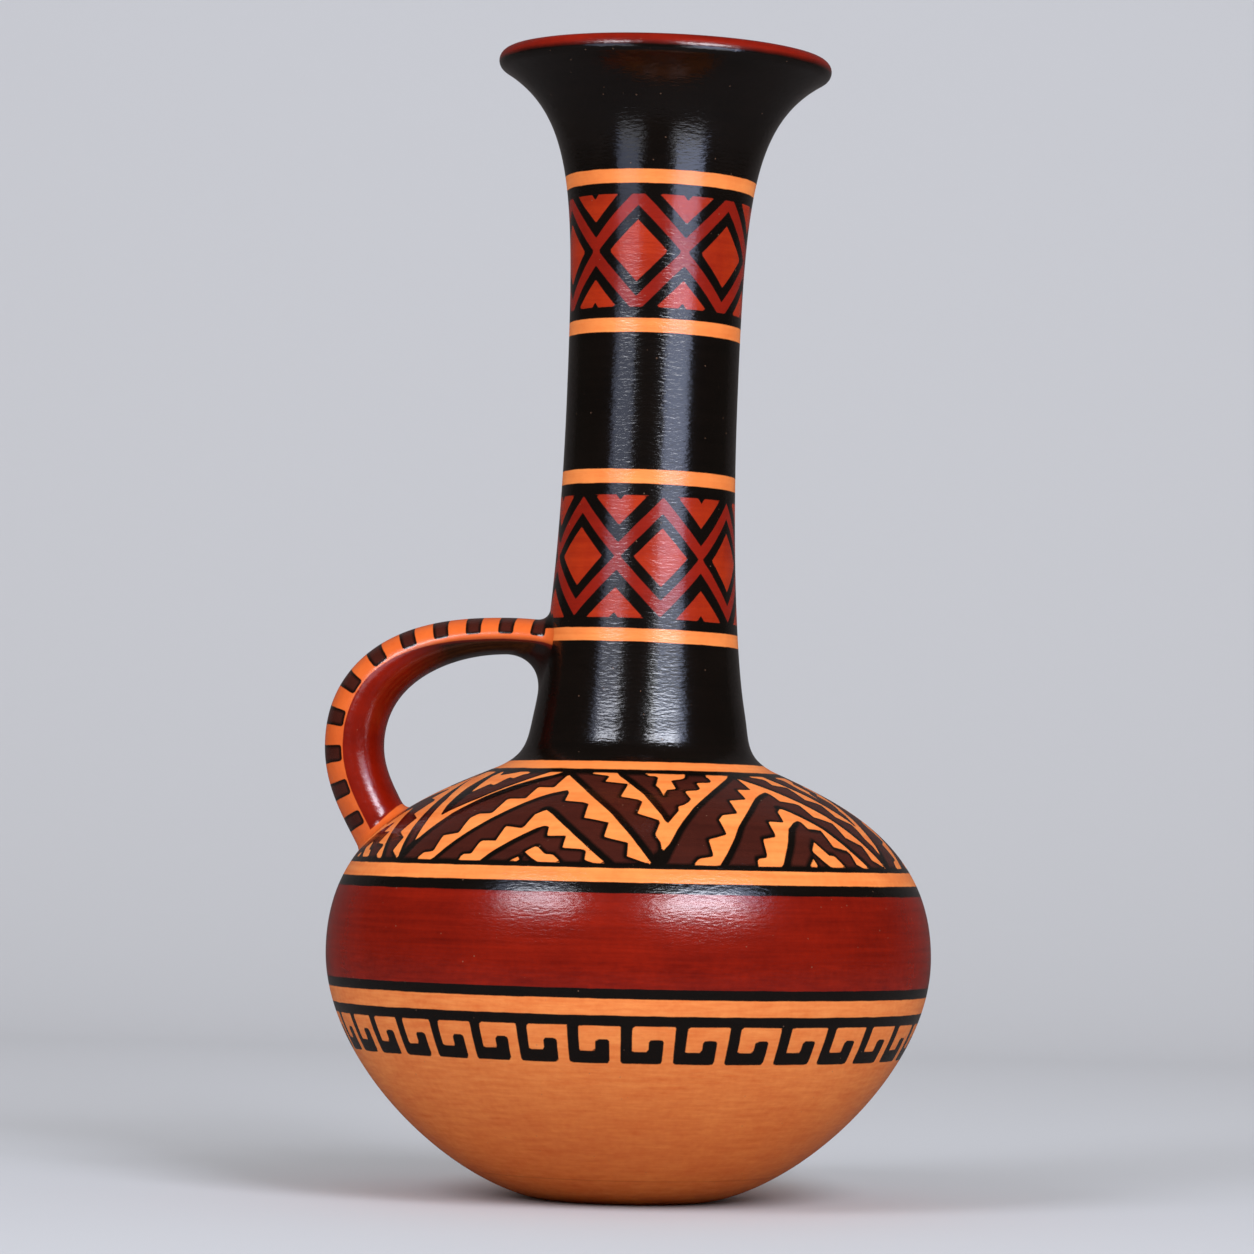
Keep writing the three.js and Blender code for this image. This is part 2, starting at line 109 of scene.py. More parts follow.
@dataclass(frozen=True)
class Outline:
    """The vessel's outline and walls, in millimetres, as the CAD source has them."""

    base_radius: float = 29.5
    belly_radius: float = 99.8
    belly_height: float = 80.2
    foot_reach: float = 30.5
    foot_slope: float = 0.2
    lower_fullness: float = 35.8
    upper_fullness: float = 36.2
    shoulder_radius: float = 47.0
    shoulder_height: float = 140.8
    shoulder_slope: float = 0.42
    shoulder_reach: float = 26.3
    throat_radius: float = 34.9
    throat_height: float = 160.0
    throat_taper: float = 0.19
    shoulder_turn: float = 11.0
    throat_turn: float = 9.5
    waist_radius: float = 28.3
    waist_height: float = 264.5
    neck_taper_reach: float = 20.0
    waist_lower_fullness: float = 46.0
    waist_upper_fullness: float = 67.5
    mouth_radius: float = 53.6
    mouth_height: float = 372.0
    mouth_slope: float = 0.6
    mouth_reach: float = 23.9
    lip_radius: float = 3.4
    neck_offset: float = 2.1
    offset_start: float = 110.0
    offset_end: float = 166.0
    neck_lean: float = 0.0185
    fall_start: float = 150.0
    fall_end: float = 185.2
    base_wall: float = 6.6
    body_wall: float = 6.0
    neck_wall: float = 5.5
    rough_points: int = 30

    def curves(self) -> list[tuple[list[tuple[float, float]], tuple[float, float]]]:
        """The outline's five curves: foot, dome, turn into the neck, neck and flare.

        Returns:
            For each, its control points as (radius, height), and the wall at both ends.
        """
        base, belly = (self.base_radius, 0.0), (self.belly_radius, self.belly_height)
        shoulder = (self.shoulder_radius, self.shoulder_height)
        throat = (self.throat_radius, self.throat_height)
        waist, mouth = (self.waist_radius, self.waist_height), (self.mouth_radius, self.mouth_height)
        foot = [base, (base[0] + self.foot_reach, self.foot_reach * self.foot_slope),
                (belly[0], belly[1] - self.lower_fullness), belly]
        dome = [belly, (belly[0], belly[1] + self.upper_fullness),
                (shoulder[0] + self.shoulder_reach,
                 shoulder[1] - self.shoulder_reach * self.shoulder_slope), shoulder]
        turn = [shoulder, (shoulder[0] - self.shoulder_turn,
                           shoulder[1] + self.shoulder_turn * self.shoulder_slope),
                (throat[0] + self.throat_turn * self.throat_taper, throat[1] - self.throat_turn),
                throat]
        neck = [throat, (throat[0] - self.neck_taper_reach * self.throat_taper,
                         throat[1] + self.neck_taper_reach),
                (waist[0], waist[1] - self.waist_lower_fullness), waist]
        flare = [waist, (waist[0], waist[1] + self.waist_upper_fullness),
                 (mouth[0] - self.mouth_reach, mouth[1] - self.mouth_reach * self.mouth_slope),
                 mouth]
        body, tube = self.body_wall, self.neck_wall
        return [(foot, (self.base_wall, body)), (dome, (body, body)), (turn, (body, tube)),
                (neck, (tube, tube)), (flare, (tube, 2 * self.lip_radius))]

    def line(self, wall_share: float, depth: float = 0.0, spacing: float = 0.8) -> np.ndarray:
        """The line that lies a share of the wall plus some depth inside the outline.

        Args:
            wall_share: 0 for the outer surface, 1 for the inner one.
            depth: millimetres further in.
            spacing: about how far apart its points are.

        Returns:
            Rows of (radius, height) from the foot to the mouth.
        """
        rows = []
        for controls, walls in self.curves():
            length = float(step_lengths(cubic(controls, np.linspace(0, 1, self.rough_points))).sum())
            t = np.linspace(0, 1, round(length / spacing) + 1)
            at = cubic(controls, t)
            after = cubic(controls, np.minimum(t + NUDGE, 1))
            along = unit(after - cubic(controls, np.maximum(t - NUDGE, 0)))
            out = np.stack([along[:, 1], -along[:, 0]], 1)
            wall = walls[0] + (walls[1] - walls[0]) * t
            line = at - out * (wall * wall_share + depth)[:, None]
            rows.append(line if not rows else line[1:])
        return np.vstack(rows)

    def radius(self, line: np.ndarray, height: Union[float, np.ndarray]) -> np.ndarray:
        """Radius of a line at some height."""
        return np.interp(height, line[:, 1], line[:, 0])

    def stretch(self, line: np.ndarray, low: float, high: float) -> np.ndarray:
        """Cut a line to two heights.

        Args:
            line: rows of (radius, height).
            low: height of the lower end.
            high: height of the upper end.

        Returns:
            The rows between, with exact ends and no row too near them.
        """
        room = 0.4
        between = line[(line[:, 1] > low + room) & (line[:, 1] < high - room)]
        ends = [[self.radius(line, low), low]], [[self.radius(line, high), high]]
        return np.vstack([ends[0], between, ends[1]])

    def drift(self, height: np.ndarray) -> np.ndarray:
        """Sideways place of the vessel's own axis at a height."""
        eased = smoothstep(height, self.offset_start, self.offset_end)
        return self.neck_offset * eased + self.neck_lean * np.maximum(0, height - self.offset_end)

    def fall(self, height: np.ndarray) -> np.ndarray:
        """Fall of the wall's rings towards +X, per millimetre."""
        return self.neck_lean * smoothstep(height, self.fall_start, self.fall_end)

    def bent(self, x: np.ndarray, y: np.ndarray, height: np.ndarray) -> np.ndarray:
        """Set points of the upright vessel on its leaning axis.

        Returns:
            Points (x + drift(h), y, h - x fall(h)).
        """
        return np.stack([x + self.drift(height), y, height - x * self.fall(height)], -1)

    def outside(self, points: np.ndarray) -> np.ndarray:
        """How far points stand outside the vessel, square to its axis.

        Args:
            points: ... x 3, in millimetres.

        Returns:
            Distance of each point from the axis less the outer radius at its height.
        """
        aside = points[..., 0] - self.drift(points[..., 2])
        height = points[..., 2] + aside * self.fall(points[..., 2])
        return np.hypot(aside, points[..., 1]) - self.radius(OUTER, height)

    def on_surface(self, points: np.ndarray, depth: float = 0.0) -> np.ndarray:
        """Move points square to the axis onto the outer surface.

        Args:
            points: ... x 3, in millimetres.
            depth: how far under the surface they go.

        Returns:
            The moved points.
        """
        aside = points[..., 0] - self.drift(points[..., 2])
        far = np.hypot(aside, points[..., 1])
        share = (far - self.outside(points) - depth) / far
        moved = np.array(points)
        moved[..., 0] = points[..., 0] + aside * (share - 1)
        moved[..., 1] = points[..., 1] * share
        return moved


OUTLINE = Outline()
OUTER = OUTLINE.line(0)
INNER = OUTLINE.line(1, spacing=2.5)
# Height at which the shoulder's pattern starts
PATTERN_FOOT = 110.9


def climb_table() -> tuple[np.ndarray, np.ndarray]:
    """Climb up the surface in degrees of turn, so that a painted shape keeps its proportions.

    Returns:
        Heights, and at each the sum of (step along the surface / radius there), counted from the
        foot of the shoulder's pattern.
    """
    middle = (OUTER[1:, 0] + OUTER[:-1, 0]) / 2
    climb = np.degrees(np.concatenate([[0], np.cumsum(step_lengths(OUTER) / middle)]))
    return OUTER[:, 1], climb - np.interp(PATTERN_FOOT, OUTER[:, 1], climb)


CLIMB = climb_table()


def to_path(points: np.ndarray, path: np.ndarray) -> np.ndarray:
    """Distance from points to an open path.

    Args:
        points: ... x 2.
        path: its corners.

    Returns:
        The least distance to any of its straight parts.
    """
    least = np.full(points.shape[:-1], np.inf)
    for a, b in zip(path[:-1], path[1:]):
        run = b - a
        share = np.clip(((points - a) @ run) / max(run @ run, 1e-9), 0, 1)
        least = np.minimum(least, np.linalg.norm(points - a - share[..., None] * run, axis=-1))
    return least


def to_shape(points: np.ndarray, corners: np.ndarray) -> np.ndarray:
    """Distance from points to a closed shape's edge.

    Args:
        points: ... x 2.
        corners: the shape's corners in order.

    Returns:
        The distance, negative inside. The side comes from how often a ray along +x crosses the
        edge.
    """
    inside = np.zeros(points.shape[:-1], bool)
    x, y = points[..., 0], points[..., 1]
    for (ax, ay), (bx, by) in zip(corners, np.roll(corners, -1, axis=0)):
        if ay != by:
            inside ^= ((ay > y) != (by > y)) & (x < ax + (y - ay) * (bx - ax) / (by - ay))
    return to_path(points, np.vstack([corners, corners[:1]])) * np.where(inside, -1, 1)


def to_bands(height: np.ndarray, bands: Sequence[tuple[float, float]]) -> np.ndarray:
    """Distance to the nearest of some level bands, negative inside one."""
    return np.min([np.abs(height - (low + high) / 2) - (high - low) / 2 for low, high in bands], axis=0)


def to_rounded(across: np.ndarray, up: np.ndarray, rounding: float) -> np.ndarray:
    """Distance to a box with round corners.

    Args:
        across: distance past its sides, negative between them.
        up: distance past its ends, negative between them.
        rounding: radius of its corners.

    Returns:
        |max(p, 0), max(q, 0)| + min(max(p, q), 0) - rounding, where p and q are the two distances
        plus the rounding.
    """
    p = across + rounding
    q = up + rounding
    return np.hypot(np.maximum(p, 0), np.maximum(q, 0)) + np.minimum(np.maximum(p, q), 0) - rounding


@dataclass(frozen=True)
class Hooks:
    """The row of hanging hooks under the belly's black line.

    Heights and the rounding are in millimetres, shift and sway in degrees, and the stem, the curl
    and the wrap in shares of one hook's pitch. The sway spaces the hand-drawn hooks unevenly.
    """

    count: int = 35
    shift: float = 0.1
    sway: float = 6.4
    low: float = 48.4
    high: float = 61.5
    bar_top: float = 52.3
    curl_top: float = 56.1
    half_stem: float = 0.1075
    curl: tuple[float, float] = (0.415, 0.685)
    wrap: float = 0.2125
    rounding: float = 0.9

    def distance(self, turn: np.ndarray, height: np.ndarray, radius: np.ndarray) -> np.ndarray:
        """Distance to the hooks: a stem, a foot to its right and that foot's upturned end.

        Args:
            turn: degrees round the vessel.
            height: millimetres up its axis.
            radius: the vessel's radius there.

        Returns:
            Millimetres to the nearest hook's edge, negative inside it.
        """
        pitch = 360 / self.count
        sway = self.sway * (1 - np.cos(np.radians(turn)))
        beat = (turn + self.shift - sway) / pitch + self.wrap
        mm = np.radians(pitch) * radius
        u = (beat - np.floor(beat) - self.wrap) * mm
        parts = []
        for left, right, top in ((-self.half_stem, self.half_stem, self.high),
                                 (-self.half_stem, self.curl[1], self.bar_top),
                                 (self.curl[0], self.curl[1], self.curl_top)):
            across = np.abs(u - (left + right) / 2 * mm) - (right - left) / 2 * mm
            parts.append(to_rounded(across, to_bands(height, [(self.low, top)]), self.rounding))
        return np.min(parts, axis=0)


@dataclass(frozen=True)
class Diamonds:
    """A band of stepped lozenges round the neck, between two black lines.

    The first lozenge, the sway and its shift are in degrees. The heights, the slope and the notch
    are in millimetres. The fill, the strip and the corner are values of the s that distances()
    works out, and the steepness turns s into a distance.
    """

    count: int
    first: float
    sway: float
    sway_shift: float
    low: float
    high: float
    slope: float
    fill: float
    strip: tuple[float, float]
    corner: float
    steepness: float = 1.43
    notch: float = 1.8
    notch_slope: float = 0.72

    def distances(self, turn: np.ndarray, height: np.ndarray) -> tuple[np.ndarray, np.ndarray]:
        """Distances to the strips and to the lozenges with their half lozenges.

        Both come from s = |height from the middle| + slope |turn from the middle| / half a repeat.

        Args:
            turn: degrees round the vessel.
            height: millimetres up its axis.

        Returns:
            The two distances in millimetres, negative inside.
        """
        half = 180 / self.count
        swayed = turn - self.sway * np.sin(np.radians(turn + self.sway_shift))
        beat = (swayed - self.first) / (2 * half) + 0.5
        off = np.abs(beat - np.floor(beat) - 0.5) * 2
        rise = np.abs(height - (self.low + self.high) / 2)
        reach = (self.high - self.low) / 2
        s = rise + self.slope * off
        strip = (np.abs(s - sum(self.strip) / 2) - (self.strip[1] - self.strip[0]) / 2) / self.steepness
        lozenge = (s - self.fill) / self.steepness
        corner = (self.corner - s) / self.steepness
        notch = self.notch - (reach - rise) - self.notch_slope * (1 - off) * half
        corner = np.maximum(corner, notch)
        edge = rise - reach
        return np.maximum(strip, edge), np.minimum(lozenge, np.maximum(corner, edge))


NECK_BANDS = (
    Diamonds(count=7, first=5.95, sway=5.77, sway_shift=32, low=190.3, high=230.4, slope=15.2, fill=9.6,
             strip=(14.3, 19.6), corner=25.4),
    Diamonds(count=6, first=-13, sway=2.07, sway_shift=-2, low=292.0, high=328.8, slope=16.0, fill=10.1,
             strip=(14.9, 20.5), corner=25.3),
)

# The shoulder's freehand drawing, as corners of turn and climb in degrees. The turn is counted from
# near a valley's tip, and the climb from the foot of the pattern.
# Gaps of one repeat: two peaks, one in the other, and what lies inside the inner one
PEAK_GAPS = (
    ((-48.3, -1), (-48.3, 0.2), (-47.4, 1.5), (-44.7, 2), (-45, 6.4), (-41, 7.3), (-41.4, 12.5),
     (-40.1, 14.3), (-36.2, 14.6), (-36, 21.6), (-30.5, 22), (-30.3, 29.1), (-25, 29.1),
     (-24.6, 39.6), (-19.6, 33.9), (-15.1, 28.4), (-10.1, 21.9), (-5, 15.1), (0, 7), (4.8, -1),
     (3.4, 0.2), (-0.8, 1.8), (-0.7, 5.5), (-5.9, 7.1), (-5.4, 12), (-9.3, 13.1), (-11.5, 13.6),
     (-11.7, 19.8), (-13.3, 20.6), (-18.5, 21.3), (-18.9, 25.8), (-19.9, 27.6), (-21.4, 26.9),
     (-24.2, 25.2), (-26.9, 22.9), (-30.1, 19.3), (-36, 11.5), (-41, 4.4), (-44.6, -1)),
    ((-36.8, -1), (-36.5, 1.3), (-34.2, 1.5), (-33.5, 5.1), (-29.9, 5.2), (-29.5, 9.9), (-24.9, 9.2),
     (-24, 14.4), (-21.9, 16.5), (-19.6, 14.6), (-15.1, 10.1), (-10.1, 5), (-4, -1), (-7.4, 0),
     (-9.2, 0.7), (-9.2, 2.8), (-9.9, 3.4), (-14.2, 3.7), (-14.2, 7.2), (-18.5, 7), (-18.9, 9.9),
     (-19.9, 10.4), (-21.9, 9.3), (-25.1, 6.5), (-30, 1.8), (-32.4, -1)),
    ((-25, 0), (-23, 1.2), (-22.6, 0)),
    ((-22.1, 2.4), (-19.9, 4), (-17.6, 1.8), (-16, 1.8), (-14, 0), (-18.7, 0), (-20.1, 0.8)),
)
# Gaps of one valley: beside the hanging wedge, and inside it
VALLEY_GAPS = (
    ((-15.8, 43), (-15.8, 40.9), (-12.4, 39.9), (-10.1, 39.4), (-9.2, 38.5), (-9.9, 34.3), (-2.7, 32.8),
     (-2.3, 32), (-3.6, 24.2), (1.1, 22.7), (2.3, 21.6), (1.1, 15.9), (6.1, 13.3), (6.4, 12.3), (5.1, 8.1),
     (6.2, 5.7), (6.3, 3.1), (8, 5.4), (10.2, 10.2), (15.2, 18.7), (19.8, 24.5), (24.8, 30), (29.8, 35.2),
     (34.8, 39.8), (38, 43), (26.8, 43), (26.1, 40.1), (26.6, 38.8), (26.6, 36.4), (25.5, 35.1),
     (20.5, 34.6), (20.5, 30.4), (19.3, 29.1), (15.2, 28.4), (15.2, 26.8), (15.8, 23.5), (14.8, 21.9),
     (13, 20.1), (11.6, 19.5), (11.4, 17.4), (9.8, 14.8), (7.9, 11.5), (6.8, 15.3), (4.8, 20.3),
     (2.5, 25.8), (0, 30.2), (-2.9, 35.1), (-5.7, 39.1), (-7.4, 43)),
    ((2.8, 43), (4.8, 39.9), (7, 39.8), (7.9, 38.6), (6.5, 32), (7.5, 30), (8.4, 25), (9.1, 27.8),
     (9.8, 29.2), (12.5, 29.7), (12, 36.2), (16.1, 37.5), (17.5, 38.8), (18.6, 43)),
)
# The valley beside the handle, where the wedge has a plain right side
HANDLE_VALLEY_GAPS = (
    ((-76, 43), (-74, 35), (-66, 27), (-61, 21), (-56, 11.5), (-53, 4.4), (-49.2, 14.8), (-44.6, 23.9),
     (-40.1, 30.4), (-34.6, 36.2), (-30.5, 39.1), (-27, 43), (-32.6, 43), (-37.8, 35.6), (-42.4, 28.7),
     (-46.9, 21.3), (-51.5, 15.4), (-52.8, 13), (-56, 18), (-61, 28), (-66, 43)),
    ((-60, 43), (-56, 38), (-50.1, 40.4), (-46, 43), (-41.9, 40.4), (-44.2, 39.1), (-45.8, 35.6),
     (-48.5, 36.5), (-49.2, 30), (-52.1, 31), (-54.2, 24.8), (-57, 31), (-60, 37)),
)
# Smooth edges of those gaps, which carry a bold line: each is a run of one gap's corners
BOLD_EDGES = (
    PEAK_GAPS[0][13:20], PEAK_GAPS[0][-7:], PEAK_GAPS[1][8:13], PEAK_GAPS[1][-4:], VALLEY_GAPS[0][-8:],
    ((6, 1), *VALLEY_GAPS[0][17:25]),
)


@dataclass(frozen=True)
class Chevrons:
    """The shoulder's nested, stepped chevrons, drawn freehand six times round.

    They are drawn as one repeat of orange gaps in a dark ground. The ground is black along every
    gap, more boldly beside the smooth edges, and dark brown in the middle of each limb. The two
    line widths are in millimetres, all else in degrees.
    """

    period: float = 60.0
    first: float = 7.0
    sway: float = 3.04
    bold: float = 2.3
    thin: float = 1.15
    handle_valley: float = -60.0
    raised: float = 4.5
    raised_from: float = 11.0
    raised_to: float = 38.0
    leaned: float = 2.5

    def steady(self, turn: np.ndarray, climb: np.ndarray) -> tuple[np.ndarray, np.ndarray]:
        """Where a place would lie if the hand-drawn repeats were all alike.

        The peaks stand a little unevenly. The repeat to the viewer's right is drawn higher in its
        middle and leans to the left.

        Args:
            turn: degrees round the vessel.
            climb: climb up the surface, in degrees.

        Returns:
            The steady turn and climb.
        """
        x = turn - self.first - self.sway * np.sin(np.radians(3 * (turn - self.first)))
        right = (x > 0) & (x < self.period)
        swing = np.sin(np.radians(x * 180 / self.period)) * right
        lift = np.interp(climb, (0, self.raised_from, self.raised_to), (0, 1, 0))
        return x + self.leaned * swing, climb - self.raised * swing ** 2 * lift

    def corners(self, path: Sequence[tuple[float, float]]) -> np.ndarray:
        """A drawn path in steady turn and climb."""
        drawn = np.array(path, float)
        return np.column_stack(self.steady(drawn[:, 0], drawn[:, 1]))

    def distances(self, turn: np.ndarray, climb: np.ndarray, radius: np.ndarray
                  ) -> tuple[np.ndarray, np.ndarray]:
        """Distances to the gaps and to the brown middles of the limbs.

        Args:
            turn: degrees round the vessel.
            climb: climb up the surface, in degrees.
            radius: the vessel's radius there, in millimetres.

        Returns:
            The two distances in millimetres, negative inside.
        """
        x, climb = self.steady(turn, climb)
        folded = x - self.period * np.ceil(x / self.period)
        gaps, bold = np.full(turn.shape, np.inf), np.full(turn.shape, np.inf)
        for shift in (-self.period, 0.0, self.period):
            at = np.stack([folded + shift, climb], -1)
            plain_valley = np.abs(x - folded - shift - self.handle_valley) > 1
            for path in PEAK_GAPS:
                gaps = np.minimum(gaps, to_shape(at, self.corners(path)))
            for path in VALLEY_GAPS:
                valley = to_shape(at, self.corners(path))
                gaps = np.minimum(gaps, np.where(plain_valley, valley, np.inf))
            for path in BOLD_EDGES:
                bold = np.minimum(bold, to_path(at, self.corners(path)))
        real = np.stack([x, climb], -1)
        for path in HANDLE_VALLEY_GAPS:
            gaps = np.minimum(gaps, to_shape(real, self.corners(path)))
        mm = np.radians(radius)
        return gaps * mm, np.maximum(self.thin - gaps * mm, self.bold - bold * mm)


@dataclass(frozen=True)
class VesselPaint:
    """Where each slip lies on the vessel, as distances in millimetres from its edge."""

    black: tuple[tuple[float, float], ...] = (
        (60.3, 63.6), (68.8, 72.0), (101.7, 105.1), (109.4, 110.9), (139.6, 140.9), (143.5, 182.6),
        (186.9, 234.3), (238.9, 283.8), (288.4, 332.4), (336.9, 375.0))
    red: tuple[float, float] = (71.2, 102.4)
    chevrons: tuple[float, float] = (110.2, 140.2)
    droop: float = 0.25
    hooks: Hooks = Hooks()
    bands: tuple[Diamonds, ...] = NECK_BANDS
    steps: Chevrons = Chevrons()

    def channels(self, turn: np.ndarray, height: np.ndarray, climb: np.ndarray) -> dict[str, np.ndarray]:
        """Distances of every slip at points of the vessel's outside.

        Args:
            turn: degrees round the vessel.
            height: millimetres up its axis.
            climb: climb up the surface, in degrees.

        Returns:
            One array for each slip's name.
        """
        turn, height, climb = np.broadcast_arrays(turn, height, climb)
        level = height + self.droop * (1 - np.cos(np.radians(turn)))
        radius = OUTLINE.radius(OUTER, height)
        black = to_bands(level, self.black)
        told = {"black": black, "red": to_bands(level, [self.red])}
        told.update(dict.fromkeys(("strip", "fill", "brown"), np.full(turn.shape, FAR)))
        if height.min() < self.hooks.high < height.max():
            told["black"] = np.minimum(black, self.hooks.distance(turn, level, radius))
        for band in self.bands:
            if height.min() < band.high and height.max() > band.low:
                strip, fill = band.distances(turn, level)
                told["strip"] = np.minimum(told["strip"], strip)
                told["fill"] = np.minimum(told["fill"], fill)
        if height.min() < self.chevrons[1] and height.max() > self.chevrons[0]:
            inside = to_bands(level, [self.chevrons])
            gaps, brown = self.steps.distances(turn, climb, radius)
            told["brown"] = np.maximum(brown, inside + self.steps.thin)
            told["black"] = np.minimum(told["black"], np.maximum(inside, -gaps))
        return told


PAINT = VesselPaint()


@dataclass(frozen=True)
class HandlePaint:
    """Bars across the handle's outer face and deep red slip on its inner face.

    The edge angles are in degrees round the section at the shares of the path given beside them,
    and the other sizes are in millimetres. Painted shade darkens the inner face near the neck, under the
    arch.
    """

    first: float = 15.8
    pitch: float = 10.6
    count: int = 11
    half_bar: float = 2.5
    rounding: float = 1.0
    line: float = 0.8
    edge_angles: tuple[float, float] = (103.0, 79.0)
    edge_shares: tuple[float, float] = (0.2, 0.55)
    strips: tuple[float, float] = (1.9, 0.5)
    shade_reach: float = 55.0
    shade_edge: float = 8.0

    def channels(self, handle: "Handle", along: np.ndarray, angle: np.ndarray) -> dict[str, np.ndarray]:
        """Distances of the handle's slips.

        Args:
            handle: the strap that is painted.
            along: millimetres along its path.
            angle: degrees round its section.

        Returns:
            One array for each slip's name.
        """
        along, angle = np.broadcast_arrays(along, angle)
        share = along / handle.length
        eased = smoothstep(share, *self.edge_shares)
        edge_angle = self.edge_angles[0] + (self.edge_angles[1] - self.edge_angles[0]) * eased
        girth = handle.girth(share, np.abs(angle))
        edge = handle.girth(share, edge_angle)
        end = edge - (self.strips[0] + (self.strips[1] - self.strips[0]) * eased)
        beat = np.clip(np.round((along - self.first) / self.pitch), 0, self.count - 1)
        across = np.abs(along - self.first - beat * self.pitch) - self.half_bar
        bar = to_rounded(across, girth - end, self.rounding)
        inner = edge - girth
        # Painted shade: the inner face darkens towards the neck's end of the strap
        return {"black": bar, "brown": bar + self.line, "red": inner,
                "arch_shade": np.maximum(inner * self.shade_edge, along - self.shade_reach)}


class Graph:
    """A material's shader graph."""

    def __init__(self, name: str) -> None:
        """Start a material with its surface shader.

        Args:
            name: the finish, in a maker's words.
        """
        self.material = bpy.data.materials.new(name)
        self.material.use_nodes = True
        self.nodes = self.material.node_tree.nodes
        self.bsdf = self.nodes["Principled BSDF"]
        self.object = self.add("ShaderNodeTexCoord", out="Object")

    def add(self, kind: str, links: Optional[dict[Union[str, int], Input]] = None,
            out: Union[str, int] = 0, **settings: object) -> bpy.types.NodeSocket:
        """Add a node.

        Args:
            kind: its type.
            links: what goes into each named or numbered input, a socket or a value.
            out: the output that is wanted.
            settings: the node's own settings.

        Returns:
            That output's socket.
        """
        made = self.nodes.new(kind)
        for key, value in settings.items():
            setattr(made, key, value)
        self.connect(made, links or {})
        return made.outputs[out]

    def connect(self, node: bpy.types.Node, links: dict[Union[str, int], Input]) -> None:
        """Fill a node's inputs.

        Args:
            node: the node.
            links: what goes into each named or numbered input, a socket or a value.
        """
        for key, value in links.items():
            if isinstance(value, bpy.types.NodeSocket):
                self.material.node_tree.links.new(value, node.inputs[key])
            else:
                node.inputs[key].default_value = value


@dataclass(frozen=True)
class Slip:
    """One coloured clay slip: its channel, its tints where thin and thick, and its burnish.

    The soft edge is half its width in millimetres.
    """

    channel: str
    thin: str
    thick: str
    roughness: float
    soft: float = 0.14


GROUND = Slip("", "#d8692c", "#f4964f", 0.25)
HANDLE_GROUND = Slip("", "#c04c1a", "#dc6a2c", 0.25)
RED = Slip("red", "#5c0802", "#8c1804", 0.19)
BLACK = Slip("black", "#060403", "#100a07", 0.15)
LIP_RED = Slip("red", "#560802", "#861604", 0.27)
SOFT_BLACK = Slip("black", "#060403", "#100a07", 0.15, 0.9)
STRIP = Slip("strip", "#701208", "#8e1b0b", 0.19)
FILL = Slip("fill", "#7c1406", "#b0320d", 0.2)
BROWN = Slip("brown", "#30110c", "#451b13", 0.2, 0.45)
# Painted shade: near-black on the handle's inner face, fading out along the strap away from the neck
ARCH_SHADE = Slip("arch_shade", "#0e0807", "#1e110d", 0.24, 9.0)


class Side(Enum):
    """Material slot of a wall's two faces."""

    OUTSIDE = 0
    INSIDE = 1


def grid_mesh(name: str, points: np.ndarray, sides: Sequence[int],
              materials: Sequence[bpy.types.Material], closed_rows: bool,
              channels: Optional[dict[str, np.ndarray]] = None) -> bpy.types.Object:
    """Make a closed piece from a grid of points whose columns go round.

    Args:
        name: the piece's name.
        points: rows x columns x 3, in millimetres.
        sides: material slot of each row of faces.
        materials: the slots.
        closed_rows: True joins the last row to the first; False closes both ends with fans.
        channels: distances from each slip's edge at each point, rows x columns.

    Returns:
        The object, at the origin, with smooth faces and a point attribute for each slip.
    """
    rows, columns = points.shape[:2]
    low = np.arange(rows if closed_rows else rows - 1)
    j = np.arange(columns)
    a = (low[:, None] * columns + j).ravel()
    b = (low[:, None] * columns + (j + 1) % columns).ravel()
    step = ((low + 1) % rows - low)[:, None].repeat(columns, 1).ravel() * columns
    loops = [np.stack([a, b, b + step, a + step], 1)]
    slots = [np.repeat(np.asarray(sides)[:len(low)], columns)]
    vertices = [points.reshape(-1, 3)]
    ends = [] if closed_rows else [(0, -1), (rows - 1, 1)]
    for hub, (row, way) in enumerate(ends, rows * columns):
        vertices.append(points[row].mean(0, keepdims=True))
        ring = row * columns
        fan = np.stack([np.full(columns, hub), ring + j, ring + (j + 1) % columns], 1)
        loops.append(fan[:, ::way])
        slots.append(np.full(columns, sides[0 if row == 0 else len(low) - 1]))
    co = np.vstack(vertices) * MM
    volume = sum(np.einsum("ij,ij->", co[f[:, 0]], np.cross(co[f[:, k]], co[f[:, k + 1]]))
                 for f in loops for k in range(1, f.shape[1] - 1))
    if volume < 0:
        loops = [f[:, ::-1] for f in loops]
    totals = np.concatenate([np.full(len(f), f.shape[1]) for f in loops])
    starts = np.concatenate([[0], np.cumsum(totals)[:-1]])
    mesh = bpy.data.meshes.new(name)
    mesh.vertices.add(len(co))
    mesh.vertices.foreach_set("co", co.astype(np.float32).ravel())
    mesh.loops.add(int(totals.sum()))
    mesh.loops.foreach_set("vertex_index", np.concatenate([f.ravel() for f in loops]).astype(np.int32))
    mesh.polygons.add(len(totals))
    mesh.polygons.foreach_set("loop_start", starts.astype(np.int32))
    mesh.polygons.foreach_set("loop_total", totals.astype(np.int32))
    mesh.polygons.foreach_set("material_index", np.concatenate(slots).astype(np.int32))
    mesh.update(calc_edges=True)
    mesh.validate()
    mesh.shade_smooth()
    mesh.set_sharp_from_angle(angle=CREASE)
    for slip, distances in (channels or {}).items():
        ring_ends = [distances[row].mean() for row, _ in ends]
        kept = mesh.attributes.new(slip, "FLOAT", "POINT")
        values = np.concatenate([distances.ravel(), ring_ends])
        kept.data.foreach_set("value", values.astype(np.float32))
    for material in materials:
        mesh.materials.append(material)
    made = bpy.data.objects.new(name, mesh)
    bpy.context.scene.collection.objects.link(made)
    return made


